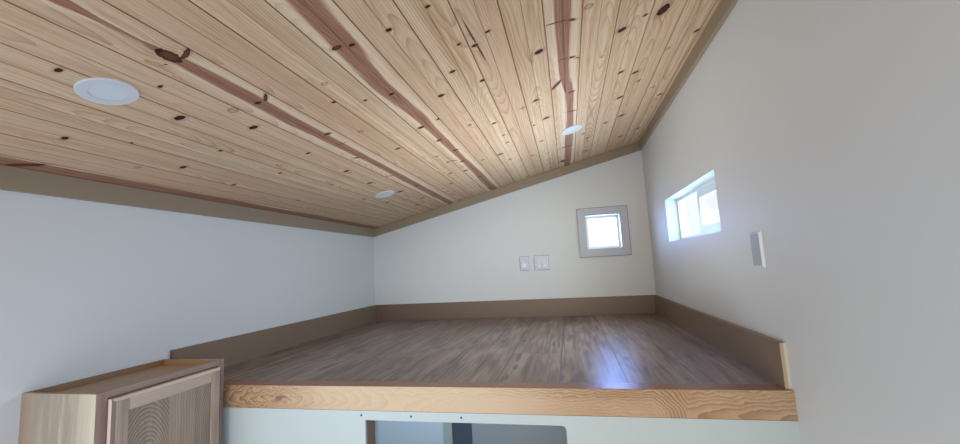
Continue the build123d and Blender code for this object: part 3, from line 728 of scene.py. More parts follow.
# Heartwood bands by board number: middle up the slope, and half width, along the room in metres.
heartwood = {
    0: (((-2.0, 0.02), (2.0, 0.02)), ((-2.0, 0.066), (2.0, 0.062))),
    6: (
        (
            (-1.1, 0.796), (-0.76, 0.799), (-0.4, 0.799), (-0.19, 0.790), (0.4, 0.794), (1.0, 0.786),
            (1.9, 0.778),
        ),
        (
            (-1.3, 0.026), (-0.9, 0.017), (-0.82, 0.007), (-0.74, 0.005), (-0.68, 0.014), (-0.61, 0.022),
            (-0.4, 0.025), (-0.19, 0.027), (0.4, 0.021), (1.0, 0.026), (1.9, 0.029),
        ),
    ),
    9: (
        (
            (-1.2, 1.180), (-0.66, 1.179), (-0.44, 1.170), (-0.2, 1.153), (0.0, 1.165), (0.15, 1.174),
            (0.6, 1.173), (1.0, 1.176), (1.9, 1.171),
        ),
        (
            (-1.2, 0.044), (-0.66, 0.040), (-0.44, 0.035), (-0.2, 0.031), (0.1, 0.028), (0.3, 0.022),
            (0.9, 0.020), (1.4, 0.032), (1.9, 0.034),
        ),
    ),
    14: (
        (
            (-1.2, 1.806), (0.15, 1.809), (0.27, 1.814), (0.44, 1.833), (0.8, 1.836), (1.13, 1.831),
            (1.9, 1.815),
        ),
        (
            (-1.2, 0.030), (-0.1, 0.030), (0.15, 0.025), (0.44, 0.021), (0.8, 0.022), (1.2, 0.030),
            (1.9, 0.026),
        ),
    ),
}

pine_finish, tree, shader = material("knotty_pine", 0.62, Specular_IOR_Level=0.25)
along = place_on(tree)["Y"]
across, seed, tone, heart = (board_value(tree, name) for name in ("across", "seed", "tone", "heart"))
mark_x, mark_y, mark_size, mark_kind = knot_place(tree)

# Growth rings round a pith behind each board, bent aside where a knot grew through them.
long_y = math_of(tree, "MULTIPLY", mark_y, 0.38)
swirl_reach = math_of(
    tree, "ADD", math_of(tree, "MULTIPLY", mark_x, mark_x), math_of(tree, "MULTIPLY", long_y, long_y)
)
swirl = math_of(tree, "EXPONENT", math_of(tree, "MULTIPLY", swirl_reach, -0.32))
bend = math_of(tree, "MULTIPLY", math_of(tree, "MULTIPLY", mark_x, mark_size), swirl)
curved = math_of(tree, "MULTIPLY_ADD", bend, -0.85, across)
curved = nudged(tree, curved, board_noise(tree, across, along, seed, 12, 2.4), 0.022)
depth_noise = board_noise(tree, across, along, seed, 2.0, 0.8, 1.0)
pith_depth = math_of(tree, "MULTIPLY_ADD", depth_noise, 0.17, -0.01)
pith_side = math_of(tree, "FRACT", math_of(tree, "MULTIPLY", seed, 0.37))
sideways = math_of(tree, "SUBTRACT", curved, math_of(tree, "MULTIPLY_ADD", pith_side, 0.12, -0.06))
radius = distance_of(tree, sideways, pith_depth)
ring_gap = 0.0058
ripple = board_noise(tree, across, along, seed, 90, 6.0)
rings = math_of(tree, "MULTIPLY_ADD", ripple, 0.35, math_of(tree, "DIVIDE", radius, ring_gap))
late = math_of(tree, "POWER", math_of(tree, "FRACT", rings), 3.2)
line_share = ramp(tree, board_noise(tree, across, along, seed, 9, 0.7), 0.34, 0.66, 0.18, 0.6)
streaks = board_noise(tree, curved, along, seed, 480, 7, 3.0)
strips = board_noise(tree, curved, along, seed, 52, 0.5)
clouds = board_noise(tree, across, along, seed, 11, 2.2, 3.0)

pale_pine, gold_pine = srgb(226, 203, 177), srgb(200, 168, 136)
pink_pine, cream_pine = srgb(206, 174, 149), srgb(214, 198, 171)
late_pine, line_pine = srgb(146, 106, 76), srgb(130, 82, 52)
heart_pine, heart_line = srgb(163, 116, 95), srgb(96, 54, 42)
base = blend_colours(tree, ramp(tree, strips, 0.32, 0.68), pale_pine, gold_pine)
base = blend_colours(tree, ramp(tree, clouds, 0.42, 0.7, 0.0, 0.6), base, cream_pine)
base = blend_colours(tree, tone, base, pink_pine)
base = blend_colours(tree, late, base, late_pine, line_share)
base = blend_colours(tree, ramp(tree, streaks, 0.42, 0.8, 0.0, 0.5), base, late_pine)

# Heartwood with pale sapwood along both its edges and a dark line along its middle.
heart_away = math_of(tree, "ABSOLUTE", heart)
heart_edge = nudged(tree, heart_away, board_noise(tree, across, along, seed, 70, 3.0, 3.0), 0.7)
base = blend_colours(tree, ramp(tree, heart_away, 1.2, 2.6, 0.4, 0.0), base, srgb(238, 224, 204))
heart_wood = blend_colours(tree, late, heart_pine, heart_line, 0.55)
heart_wood = blend_colours(tree, ramp(tree, streaks, 0.4, 0.7, 0.0, 0.7), heart_wood, heart_line)
centre_line = ramp(tree, heart_edge, 0.02, 0.16, 0.5, 0.0)
heart_wood = blend_colours(tree, centre_line, heart_wood, heart_line)
base = blend_colours(tree, ramp(tree, heart_edge, 0.72, 1.12, 0.9, 0.0), base, heart_wood)

# Joints and middle grooves gather shadow and dust.
off_middle = math_of(tree, "ABSOLUTE", across)
base = blend_colours(tree, ramp(tree, off_middle, 0.0605, 0.0622, 0.0, 0.7), base, line_pine)
base = blend_colours(tree, ramp(tree, off_middle, 0.0008, 0.0024, 0.5, 0.0), base, line_pine)

# Knots: nearly black where round, brown along a branch, and only an outline where faint.
edge_noise = clouds_of(tree, 110.0)
plain_radius = distance_of(tree, mark_x, mark_y)
knot_radius = nudged(tree, plain_radius, edge_noise, 0.5)
is_branch = math_of(tree, "COMPARE", mark_kind, branch_knot, 0.1)
is_faint = math_of(tree, "COMPARE", mark_kind, faint_knot, 0.1)
solid_share = math_of(tree, "MULTIPLY_ADD", is_faint, -0.78, 1.0)
halo = math_of(tree, "MULTIPLY", ramp(tree, knot_radius, 1.0, 2.2, 0.4, 0.0), solid_share)
base = blend_colours(tree, halo, base, late_pine)
knot_core, knot_rim, branch_wood = srgb(58, 30, 18), srgb(34, 16, 9), srgb(104, 66, 50)
branch_colour = blend_colours(tree, ramp(tree, plain_radius, 0.3, 1.0), branch_wood, srgb(62, 34, 24))
knot_wood = blend_colours(tree, ramp(tree, knot_radius, 0.4, 0.9), knot_core, knot_rim)
knot_wood = blend_colours(tree, is_branch, knot_wood, branch_colour)
knot_share = math_of(tree, "MULTIPLY", ramp(tree, knot_radius, 0.92, 1.04, 1.0, 0.0), solid_share)
base = blend_colours(tree, knot_share, base, knot_wood)
outline = math_of(tree, "ABSOLUTE", math_of(tree, "SUBTRACT", knot_radius, 0.85))
outline_share = math_of(tree, "MULTIPLY", ramp(tree, outline, 0.06, 0.22, 0.75, 0.0), is_faint)
base = blend_colours(tree, outline_share, base, late_pine)
raised_grain = math_of(tree, "MULTIPLY_ADD", streaks, 0.5, late)
coat(tree, shader, base, raised_grain, 0.00012)

ceiling_low, ceiling_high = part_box("ceiling_boards")
ceiling_start, ceiling_end = ceiling_low.y - beam_front, ceiling_high.y - beam_front
slope_length = (ceiling_high.x - ceiling_low.x) / math.cos(roof_pitch)
slope_start = (ceiling_low.x - low_wall) / math.cos(roof_pitch)
slope_end = slope_start + slope_length
joints = [slope_start]
while joints[-1] < slope_end - 0.001:
    following = first_joint if joints[-1] < first_joint else joints[-1] + board_pitch
    joints.append(min(following, slope_end))
boards = new_boards("across", "seed", "tone", "heart")
board_random = random.Random(5)
for number, (left, right) in enumerate(zip(joints, joints[1:])):
    middle = right - board_pitch / 2 if number < len(joints) - 2 else left + board_pitch / 2
    flats = [(left + joint_half, right - joint_half)]
    if middle - bead_half > left + 0.01 and middle + bead_half < right - 0.005:
        flats = [(left + joint_half, middle - bead_half), (middle + bead_half, right - joint_half)]
    outline = [(left, -joint_depth)]
    for start, end in flats:
        if start > middle:
            outline.append((middle, -bead_depth))
        outline += [(start + (end - start) * step / 3, 0.0) for step in range(4)]
    outline.append((right, -joint_depth))
    seed_value = board_random.uniform(0, 100)
    tone_value = board_random.choice((0.0, 0.1, 0.25, 0.45, 0.65))
    band = heartwood.get(number)

    def heart_at(place, band=band):
        """How far a point is from the middle of the board's heartwood, in half widths."""
        if band is None:
            return 9.0
        return (place.x - stepped(band[0], place.y)) / stepped(band[1], place.y)

    lay_board(
        boards,
        outline,
        ceiling_start,
        ceiling_end,
        round((ceiling_end - ceiling_start) / cell_length),
        board_thickness - rafter_clearance,
        [mark for mark in ceiling_marks if left < mark[0] < right],
        {
            "across": lambda place, middle=middle: place.x - middle,
            "seed": lambda place, value=seed_value: value,
            "tone": lambda place, value=tone_value: value,
            "heart": heart_at,
        },
    )
slope_frame = Matrix(
    (
        (math.cos(roof_pitch), 0, math.sin(roof_pitch), low_wall),
        (0, 1, 0, beam_front),
        (math.sin(roof_pitch), 0, -math.cos(roof_pitch), ceiling_low.z - slope_start * math.sin(roof_pitch)),
        (0, 0, 0, 1),
    )
)
bmesh.ops.transform(boards, matrix=slope_frame, verts=boards.verts)
bmesh.ops.recalc_face_normals(boards, faces=boards.faces)
pine_ceiling = add_mesh("pine_ceiling", boards, pine_finish)
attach(pine_ceiling, "bay")
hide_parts("ceiling_boards")

# Trim at the ceiling: 70 mm boards planed square and painted taupe, nailed to the walls tight under
# the ceiling. The one on the end wall runs up with its slope.
inside_taupe = srgb(148, 132, 113)
ceiling_trim_finish = painted("ceiling_trim_paint", inside_taupe, 0.42, 0.03, 300.0, 0.0001)
dress(ceiling_trim_finish, "side_ceiling_trims", "end_ceiling_trim")

# Ceiling lights: wafer lights of white enamelled metal with frosted plastic lenses. Spring clips hold
# them in holes cut through the boards.
rim_finish = painted("light_enamel", srgb(205, 209, 220), 0.3, 0.01, 120.0, 0.00002)
dress(rim_finish, "light_rims")
lens_finish, tree, shader = material("light_lens", 0.55)
frost = clouds_of(tree, 900.0)
frosted = blend_colours(tree, frost, srgb(203, 212, 224), srgb(211, 220, 230))
coat(tree, shader, frosted, frost, 0.00005)
shader.inputs["Subsurface Weight"].default_value = 0.2
shader.inputs["Subsurface Radius"].default_value = (0.01, 0.01, 0.01)
dress(lens_finish, "light_lenses")

# Partition: painted panel screwed to the studs under the beam, cut out round the doorway. Its screw
# heads along the top are left bare. On the end wall behind it, a grey board, a slate strip and a
# pale batten show through the doorway.
panel_finish = painted("panel_paint", srgb(188, 198, 198), 0.5, 0.01, 420.0, 0.0001)
dress(panel_finish, "partition_panel")
board_finish = painted("grey_board", srgb(156, 160, 162), 0.45, 0.05, 500.0, 0.0001)
dress(board_finish, "backer_board")

panel_screws = (0.912, 1.112, 1.303)
panel_screw_drop = 0.105
screw_head_radius = 0.0042
screw_head_height = 0.0008
driver_width, driver_length = 0.0011, 0.0046
screw_finish, tree, shader = material("screw_steel", 0.4, Metallic=0.9)
tarnish = clouds_of(tree, 900.0)
coat(tree, shader, blend_colours(tree, tarnish, srgb(56, 58, 62), srgb(104, 106, 110)))
heads = bmesh.new()
for from_wall in panel_screws:
    place = Matrix.Translation((low_wall + from_wall, beam_front, loft_level - panel_screw_drop))
    place = place @ Matrix.Rotation(math.pi / 2, 4, "X")
    bmesh.ops.create_cone(
        heads,
        cap_ends=True,
        segments=24,
        radius1=screw_head_radius,
        radius2=screw_head_radius * 0.86,
        depth=screw_head_height * 2,
        matrix=place,
    )
    for turn in (0, math.pi / 2):
        slot_matrix = (
            place
            @ Matrix.Rotation(turn + 0.4, 4, "Z")
            @ Matrix.Translation((0, 0, screw_head_height))
            @ Matrix.Diagonal((driver_length, driver_width, screw_head_height * 0.6, 1))
        )
        bmesh.ops.create_cube(heads, size=1.0, matrix=slot_matrix)
screws_piece = add_mesh("partition_screws", heads, screw_finish)
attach(screws_piece, "bay")


def bevelled_box(shape, low, high, edge, segments=2):
    """A box between two corners with its edges rounded."""
    size = [far - near for near, far in zip(low, high)]
    middle = [(far + near) / 2 for near, far in zip(low, high)]
    place = Matrix.Translation(middle) @ Matrix.Diagonal((*size, 1))
    made = bmesh.ops.create_cube(shape, size=1.0, matrix=place)["verts"]
    edges = list({link for vertex in made for link in vertex.link_edges})
    bmesh.ops.bevel(
        shape, geom=edges, offset=edge, segments=segments, profile=0.5, affect="EDGES", material=-1
    )


board_low, board_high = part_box("backer_board")
strip_thickness = 0.004
slate_start, batten_start = low_wall + 0.669, low_wall + 0.590
slate_finish = painted("slate_strip", srgb(78, 86, 96), 0.5, 0.08, 300.0, 0.0002)
batten_finish = painted("batten_paint", srgb(178, 180, 168), 0.45, 0.01, 300.0, 0.0001)
for name, start, end, finish, slot in (
    ("slate_strip", slate_start, board_low.x - 0.002, slate_finish, "grey_board"),
    ("pale_batten", batten_start, slate_start - 0.001, batten_finish, "panelling"),
):
    strip = bmesh.new()
    bevelled_box(
        strip, (start, end_wall - strip_thickness, board_low.z), (end, end_wall, board_high.z), 0.001
    )
    piece = add_mesh(name, strip, finish)
    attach(piece, "bay")


# Beam: a planed 89 mm square of fir across the room, clear finished, with a rebate along its back
# for the loft floor. Flat arches of late wood crowd its ends, and its middle is plain and paler.
def fir_arch(tree, run, depth, middle, middle_depth, squeeze, one_sided=False):
    """Distance from the middle of an arch whose lines run along the beam and close round its end."""
    reach = math_of(tree, "SUBTRACT", run, middle)
    if one_sided:
        reach = math_of(tree, "MAXIMUM", reach, 0.0)
    reach = math_of(tree, "MULTIPLY", reach, squeeze)
    return distance_of(tree, reach, math_of(tree, "SUBTRACT", depth, middle_depth))


beam_finish, tree, shader = material("fir_beam", 0.5)
split = place_on(tree)
run = math_of(tree, "SUBTRACT", split["X"], low_wall)
behind = math_of(tree, "SUBTRACT", split["Y"], beam_front)
depth = math_of(tree, "SUBTRACT", loft_level, split["Z"])
depth = math_of(tree, "MULTIPLY_ADD", behind, -0.8, depth)
waves = stretched_noise(tree, (19, 10, 30), 3.0)
wave_height = ramp(tree, run, 0.9, 1.6, 0.065, 0.034)
depth = nudged(tree, depth, waves, wave_height)
left_arch = fir_arch(tree, run, depth, 0.565, 0.050, 0.20)
right_arch = fir_arch(tree, run, depth, 1.93, 0.095, 0.9, True)
right_fan = math_of(tree, "ADD", fir_arch(tree, run, depth, 2.62, 0.082, 0.085), 0.062)
right_figure = math_of(tree, "MINIMUM", right_arch, right_fan)
past_middle = ramp(tree, run, 0.95, 1.4)
figure = node(tree, "Mix", {"Factor": past_middle, "A": left_arch, "B": right_figure}).outputs[0]
ring_gap = 0.0098
late = math_of(tree, "POWER", math_of(tree, "FRACT", math_of(tree, "DIVIDE", figure, ring_gap)), 1.5)
fibres = fibre(tree, "X", 1400.0, 90.0)
patches = stretched_noise(tree, (5, 9, 9))
plain_place = 1.12
off_plain = math_of(tree, "ABSOLUTE", math_of(tree, "SUBTRACT", run, plain_place))
figured = ramp(tree, math_of(tree, "MULTIPLY_ADD", patches, 0.3, off_plain), 0.42, 0.85)
right_bold = ramp(tree, right_figure, 0.050, 0.072, 0.35, 1.0)
bold = node(tree, "Mix", {"Factor": past_middle, "A": 1.0, "B": right_bold}).outputs[0]
bold = math_of(tree, "MULTIPLY", bold, ramp(tree, run, 2.03, 2.06, 1.0, 0.75))
line_strength = math_of(tree, "MULTIPLY", math_of(tree, "MULTIPLY_ADD", figured, 0.62, 0.14), bold)
fir_pale, fir_tan, fir_late = srgb(214, 187, 156), srgb(192, 156, 120), srgb(104, 66, 38)
fir = blend_colours(tree, figured, fir_pale, fir_tan)
fir = blend_colours(tree, ramp(tree, patches, 0.4, 0.66, 0.0, 0.35), fir, fir_pale)
fir = blend_colours(tree, late, fir, fir_late, line_strength)
fir = blend_colours(tree, ramp(tree, left_arch, 0.003, 0.008, 0.7, 0.0), fir, srgb(92, 52, 38))
fir = blend_colours(tree, fibres, fir, fir_late, 0.22)
# The top face is painted darker, as painted shade, and has a glossier finish.
facing_up = math_of(tree, "GREATER_THAN", place_on(tree, "Normal")["Z"], 0.9)
shaded_fir_top = blend_colours(tree, 0.72, fir, srgb(126, 68, 34))
fir = blend_colours(tree, facing_up, fir, shaded_fir_top)
tree.links.new(math_of(tree, "MULTIPLY_ADD", facing_up, -0.24, 0.5), shader.inputs["Roughness"])
coat(tree, shader, fir, math_of(tree, "ADD", late, fibres), 0.00012)
dress(beam_finish, "loft_beam")

# Loft floor: laminate planks with a printed oak figure, laid floating along the room with staggered
# ends, a fine bevel at every edge and a satin wear layer that mirrors the windows.
plank_width = 0.235
plank_length = 1.22
plank_seam = 1.89
bevel_width, bevel_depth = 0.0014, 0.0004
end_gap = 0.0006
plank_cell = 0.04

# Printed knots, in millimetres: across from the low wall, back from the beam, half length and width.
# Each fades out over more than its length along the plank, and over less than its width across it.
length_unit, width_unit = 850, 1700
floor_marks = [
    (across / 1000, back / 1000, long / length_unit, wide / width_unit, 90.0, round_knot)
    for across, back, long, wide in (
        (1160, 400, 62, 20), (1160, 540, 70, 8), (1312, 350, 150, 10), (1461, 480, 60, 11),
        (1466, 283, 30, 12), (1437, 870, 45, 14), (1437, 962, 25, 10), (1617, 775, 50, 20),
        (1638, 750, 70, 6), (1662, 125, 35, 12), (1859, 697, 35, 11), (1734, 1620, 40, 16),
        (1565, 1150, 125, 8), (1344, 1390, 70, 10), (1170, 1235, 110, 7), (1164, 840, 60, 12),
        (961, 869, 90, 10), (969, 736, 40, 13), (940, 1350, 80, 9), (588, 1140, 50, 18),
        (516, 1370, 50, 14), (547, 790, 35, 12), (565, 619, 45, 22), (578, 290, 50, 20),
        (375, 820, 30, 12), (130, 1000, 120, 30), (375, 197, 25, 12), (914, 260, 20, 14),
        (914, 88, 20, 10), (1008, 103, 25, 10), (1156, 134, 25, 10), (1453, 134, 25, 10),
        (2105, 600, 190, 14), (1930, 430, 25, 14), (2110, 1275, 30, 10), (2094, 120, 25, 12),
        (1906, 556, 25, 8),
    )
]

laminate_finish, tree, shader = material("laminate", 0.3, Specular_IOR_Level=0.4)
along = place_on(tree)["Y"]
across, seed, tone = (board_value(tree, name) for name in ("across", "seed", "tone"))
mark_x, mark_y = knot_place(tree)[:2]
grain = board_noise(tree, across, along, seed, 30, 3.4, 2.0, 0.5)
clouds = board_noise(tree, across, along, seed, 11, 2.2, 3.0, 0.6)
streaks = board_noise(tree, across, along, seed, 70, 2.2, 2.0)
fine = board_noise(tree, across, along, seed, 420, 9)
laminate_pale, laminate_mid, laminate_dark = srgb(173, 153, 143), srgb(136, 117, 109), srgb(72, 59, 54)
colour = blend_colours(tree, ramp(tree, clouds, 0.34, 0.66), laminate_mid, laminate_pale)
colour = blend_colours(tree, tone, colour, laminate_mid, 0.45)
colour = blend_colours(tree, ramp(tree, grain, 0.42, 0.78, 0.0, 0.75), colour, laminate_dark)
colour = blend_colours(tree, ramp(tree, streaks, 0.44, 0.66, 0.0, 0.5), colour, laminate_dark)
colour = blend_colours(tree, fine, colour, laminate_dark, 0.16)
reach = distance_of(tree, mark_x, mark_y)
reach = nudged(tree, nudged(tree, reach, grain, 1.6), streaks, 3.0)
colour = blend_colours(tree, ramp(tree, reach, 0.4, 1.6, 0.7, 0.0), colour, srgb(46, 34, 33))
off_middle = math_of(tree, "ABSOLUTE", across)
seam_share = ramp(tree, off_middle, plank_width / 2 - 0.0030, plank_width / 2 - 0.0014, 0.0, 0.85)
colour = blend_colours(tree, seam_share, colour, srgb(40, 34, 34))
coat(tree, shader, colour, fine, 0.00002)

laminate_low, laminate_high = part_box("loft_floor")
planks = new_boards("across", "seed", "tone")
plank_random = random.Random(8)
seam = plank_seam - math.ceil(plank_seam / plank_width) * plank_width
left_limit, right_limit = laminate_low.x - low_wall, laminate_high.x - low_wall
front_limit, back_limit = laminate_low.y - beam_front, laminate_high.y - beam_front
while seam < right_limit - 0.005:
    left, right = max(seam, left_limit), min(seam + plank_width, right_limit)
    if right - left > 0.01:
        end = front_limit
        following = front_limit + plank_length * plank_random.uniform(0.25, 1.0)
        while end < back_limit - 0.001:
            following = min(following, back_limit)
            outline = [(left, -bevel_depth), (left + bevel_width, 0.0)]
            outline += [(left + (right - left) * k / 6, 0.0) for k in range(1, 6)]
            outline += [(right - bevel_width, 0.0), (right, -bevel_depth)]
            values = {
                "across": lambda place, middle=(left + right) / 2: place.x - middle,
                "seed": lambda place, value=plank_random.uniform(0, 100): value,
                "tone": lambda place, value=plank_random.random(): value,
            }
            lay_board(
                planks,
                outline,
                end,
                following - end_gap,
                max(2, round((following - end) / plank_cell)),
                laminate_high.z - laminate_low.z,
                [m for m in floor_marks if left < m[0] < right],
                values,
            )
            end = following
            following = end + plank_length
    seam += plank_width
bmesh.ops.translate(planks, verts=planks.verts, vec=(low_wall, beam_front, laminate_high.z))
bmesh.ops.recalc_face_normals(planks, faces=planks.faces)
laminate_planks = add_mesh("laminate_planks", planks, laminate_finish)
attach(laminate_planks, "bay")
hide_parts("loft_floor")

# Baseboards: 140 mm boards painted taupe and nailed to the walls round the loft. The front end of
# the board at the high wall is left as it was sawn, so bare wood shows there. Faces that look towards
# the open side are painted darker, as painted shade.
baseboard_finish, tree, shader = material("baseboard_paint", 0.42)
split = place_on(tree)
paint = blend_colours(tree, clouds_of(tree, 3.0, 4.0), srgb(122, 104, 88), srgb(132, 114, 96))
# Painted shade: faces that look towards the open side take a darker tone. The same mask is then narrowed to
# the bare end.
painted_shade_then_bare_end = math_of(tree, "LESS_THAN", place_on(tree, "Normal")["Y"], -0.9)
paint = blend_colours(tree, painted_shade_then_bare_end, paint, srgb(113, 92, 80), 0.8)
for kept in (
    math_of(tree, "LESS_THAN", split["Y"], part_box("side_baseboards")[0].y + 0.0005),
    math_of(tree, "GREATER_THAN", split["X"], room_middle),
):
    painted_shade_then_bare_end = math_of(tree, "MULTIPLY", painted_shade_then_bare_end, kept)
end_share = ramp(tree, split["X"], high_wall - 0.010, high_wall - 0.006)
end_wood = blend_colours(tree, end_share, srgb(182, 166, 134), srgb(212, 202, 182))
end_rings = growth_rings(tree, "Y", (high_wall - 0.03, loft_level - 0.05), 0.004, 0.0)
end_wood = blend_colours(tree, end_rings, end_wood, srgb(150, 130, 100), 0.3)
paint = blend_colours(tree, painted_shade_then_bare_end, paint, end_wood)
coat(tree, shader, paint, fibre(tree, "Y", 260.0, 30.0), 0.0001)
dress(baseboard_finish, "side_baseboards", "end_baseboard")

# Windows: a small fixed one and a long slider. White vinyl frames with a nailing flange outside, and
# clear panes held in them.
vinyl_finish = painted("vinyl", srgb(222, 228, 236), 0.32, 0.008, 200.0, 0.00002)
dress(vinyl_finish, "window_frames", "side_window_sash")
glass_finish, tree, shader = material("pane", 0.02, Alpha=0.14)
haze = clouds_of(tree, 4.0, 3.0)
coat(tree, shader, blend_colours(tree, haze, srgb(222, 238, 242), srgb(236, 246, 248)))
dress(glass_finish, "window_glass")

# Window casing: flat boards mitred round the small window and painted a cool pale grey. Fine dark
# lines of painted shadow run along the edges where they meet the wall and the opening.
casing_finish, tree, shader = material("casing_paint", 0.4)
cloud = clouds_of(tree, 5.0, 3.0)
casing_colour = blend_colours(tree, cloud, srgb(177, 182, 196), srgb(187, 193, 206))
split = place_on(tree)
casing_low, casing_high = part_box("end_window_casing")
casing_half_width = (casing_high.x - casing_low.x) / 2
casing_half_height = (casing_high.z - casing_low.z) / 2
casing_middle = (casing_low + casing_high) / 2
casing_board = 0.070
casing_line = 0.0040
from_side, from_level = (
    math_of(tree, "SUBTRACT", math_of(tree, "ABSOLUTE", math_of(tree, "SUBTRACT", place, middle)), half)
    for place, middle, half in (
        (split["X"], casing_middle.x, casing_half_width),
        (split["Z"], casing_middle.z, casing_half_height),
    )
)
diagonal = math_of(tree, "ABSOLUTE", math_of(tree, "SUBTRACT", from_side, from_level))
mitre = math_of(tree, "LESS_THAN", diagonal, 0.0006)
from_rim = math_of(tree, "MAXIMUM", from_side, from_level)
# Painted shadow: thin dark lines along the casing's outer and inner edges.
outer_shadow_line = math_of(tree, "GREATER_THAN", from_rim, -casing_line)
inner_shadow_line = math_of(tree, "LESS_THAN", from_rim, casing_line - casing_board)
lines = math_of(tree, "MAXIMUM", outer_shadow_line, inner_shadow_line)
casing_colour = blend_colours(tree, mitre, casing_colour, srgb(120, 118, 124), 0.35)
casing_colour = blend_colours(tree, lines, casing_colour, srgb(98, 98, 108), 0.85)
coat(tree, shader, casing_colour, math_of(tree, "SUBTRACT", cloud, mitre), 0.0002)
dress(casing_finish, "end_window_casing")


# Wall plates: moulded plastic with sloped rims over the boxes in the wall. The two on the end wall
# hold rocker switches, whose lower ends stand out, in dark surrounds of painted shadow, and the one
# on the high wall is blank. The sloped rims and the rockers' sloped lower ends carry a painted highlight.
def between(tree, value, low, high):
    """1 where a value lies between two limits, otherwise 0."""
    above = math_of(tree, "GREATER_THAN", value, low)
    return math_of(tree, "MULTIPLY", above, math_of(tree, "LESS_THAN", value, high))


gang_pitch = 0.046
rocker_width, rocker_height = 0.033, 0.067
rocker_gap = 0.0012
rocker_proud, rocker_tilt = 0.0006, 0.0042
plate_finish, tree, shader = material("plate_plastic", 0.22)
cloud = clouds_of(tree, 60.0)
normal = place_on(tree, "Normal")
plate_colour = blend_colours(tree, cloud, srgb(166, 169, 194), srgb(174, 177, 203))
at_side = math_of(tree, "GREATER_THAN", place_on(tree)["X"], high_wall - 0.02)
side_colour = blend_colours(tree, cloud, srgb(160, 170, 183), srgb(168, 178, 192))
plate_colour = blend_colours(tree, at_side, plate_colour, side_colour)
# Painted highlight: the plates' sloped rims are painted pale.
flat_face = math_of(tree, "MAXIMUM", *(math_of(tree, "ABSOLUTE", normal[axis]) for axis in "XY"))
rim = math_of(tree, "LESS_THAN", flat_face, 0.9)
rim_highlight = blend_colours(tree, at_side, srgb(196, 200, 218), srgb(246, 246, 250))
plate_colour = blend_colours(tree, rim, plate_colour, rim_highlight, 0.8)
coat(tree, shader, plate_colour, cloud, 0.00002)
dress(plate_finish, "wall_plates")
rocker_finish, tree, shader = material("rocker_plastic", 0.2)
cloud = clouds_of(tree, 80.0)
rocker_colour = blend_colours(tree, cloud, srgb(172, 174, 202), srgb(178, 180, 208))
# Painted highlight: the rocker's upward-sloping faces are painted near white.
lip_highlight = between(tree, place_on(tree, "Normal")["Z"], 0.05, 0.6)
rocker_colour = blend_colours(tree, lip_highlight, rocker_colour, srgb(240, 240, 250))
coat(tree, shader, rocker_colour, cloud, 0.00001)
shadow_finish = painted("rocker_shadow", srgb(104, 106, 120), 0.5, 0.01, 80.0, 0.00001)


def rocker(shape, middle, level, front, lip):
    """A rocker in its dark surround. Its face slopes out below the middle, from a share of the way."""
    half_width, half_height = rocker_width / 2, rocker_height / 2
    earlier = set(shape.faces)
    bevelled_box(
        shape,
        (middle - half_width - rocker_gap, front - 0.0002, level - half_height - rocker_gap),
        (middle + half_width + rocker_gap, front + 0.001, level + half_height + rocker_gap),
        0.0001,
        1,
    )
    for face in shape.faces:
        if face not in earlier:
            face.material_index = 1
    before = set(shape.verts)
    bevelled_box(
        shape,
        (middle - half_width, front - rocker_proud, level - half_height),
        (middle + half_width, front + 0.001, level + half_height),
        0.0005,
    )
    made = [vertex for vertex in shape.verts if vertex not in before]
    geometry = made + list({e for v in made for e in v.link_edges})
    geometry += list({f for v in made for f in v.link_faces})
    bend = level - half_height * lip
    bmesh.ops.bisect_plane(shape, geom=geometry, plane_co=(0, 0, bend), plane_no=(0, 0, 1))
    for vertex in shape.verts:
        if vertex not in before and vertex.co.y < front:
            vertex.co.y -= rocker_tilt * max(0.0, bend - vertex.co.z) / (bend - level + half_height)


plate_level = loft_level + 0.434
plate_front = end_wall - 0.007
single_middle, wide_middle = high_wall - 1.000, high_wall - 0.857
for name, middles, lip in (
    ("single_rocker", (single_middle,), 0.0),
    ("paired_rockers", (wide_middle - gang_pitch / 2, wide_middle + gang_pitch / 2), 0.55),
):
    switches = bmesh.new()
    for middle in middles:
        rocker(switches, middle, plate_level, plate_front, lip)
    bmesh.ops.recalc_face_normals(switches, faces=switches.faces)
    piece = add_mesh(name, switches, rocker_finish, shadow_finish)
    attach(piece, "bay")


# Cabinet: an unfinished oak wall cabinet screwed to the studs. Sides of oak veneer with upright
# grain, a solid face frame, a frame and panel door, and a raw top sunk below the rim.
def arch_figure(tree, place, middle, springing, narrow, gap, wobble):
    """Late wood lines of an arch: round above its springing, and upright flanks below it."""
    side = math_of(tree, "DIVIDE", math_of(tree, "SUBTRACT", place["Y"], middle), narrow)
    rise = math_of(tree, "MAXIMUM", math_of(tree, "SUBTRACT", place["Z"], springing), 0.0)
    rings = math_of(tree, "DIVIDE", distance_of(tree, side, rise), gap)
    return math_of(tree, "POWER", math_of(tree, "FRACT", math_of(tree, "ADD", rings, wobble)), 1.7)


def oak_pores(tree, along):
    """Open pores that run along the grain, from 0 to 1."""
    return ramp(tree, fibre(tree, along, 1500.0, 45.0), 0.5, 0.75)


def oak_figure(tree, along, pith, gap, wander, colours, strength=0.5, seed=0.0):
    """Colour of oak that runs along one axis, from its pale, middle and late wood colours."""
    pale, middle, late = colours
    rings = growth_rings(tree, along, pith, gap, wander, seed=seed)
    pores = oak_pores(tree, along)
    colour = blend_colours(tree, ramp(tree, fibre(tree, along, 40.0, 14.0), 0.35, 0.65), middle, pale)
    colour = blend_colours(tree, rings, colour, late, strength)
    pore_share = math_of(tree, "MULTIPLY", pores, math_of(tree, "MULTIPLY_ADD", rings, 0.35, 0.2))
    return blend_colours(tree, pore_share, colour, late), pores


cabinet_low, cabinet_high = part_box("cabinet_case")
door_low, door_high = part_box("door_frame")
cabinet_middle = (cabinet_low.y + cabinet_high.y) / 2
case_board = 0.0127
case_recess = 0.020
face_member, door_member = 0.038, 0.048
raw_brown, raw_orange = srgb(176, 156, 138), srgb(184, 134, 84)

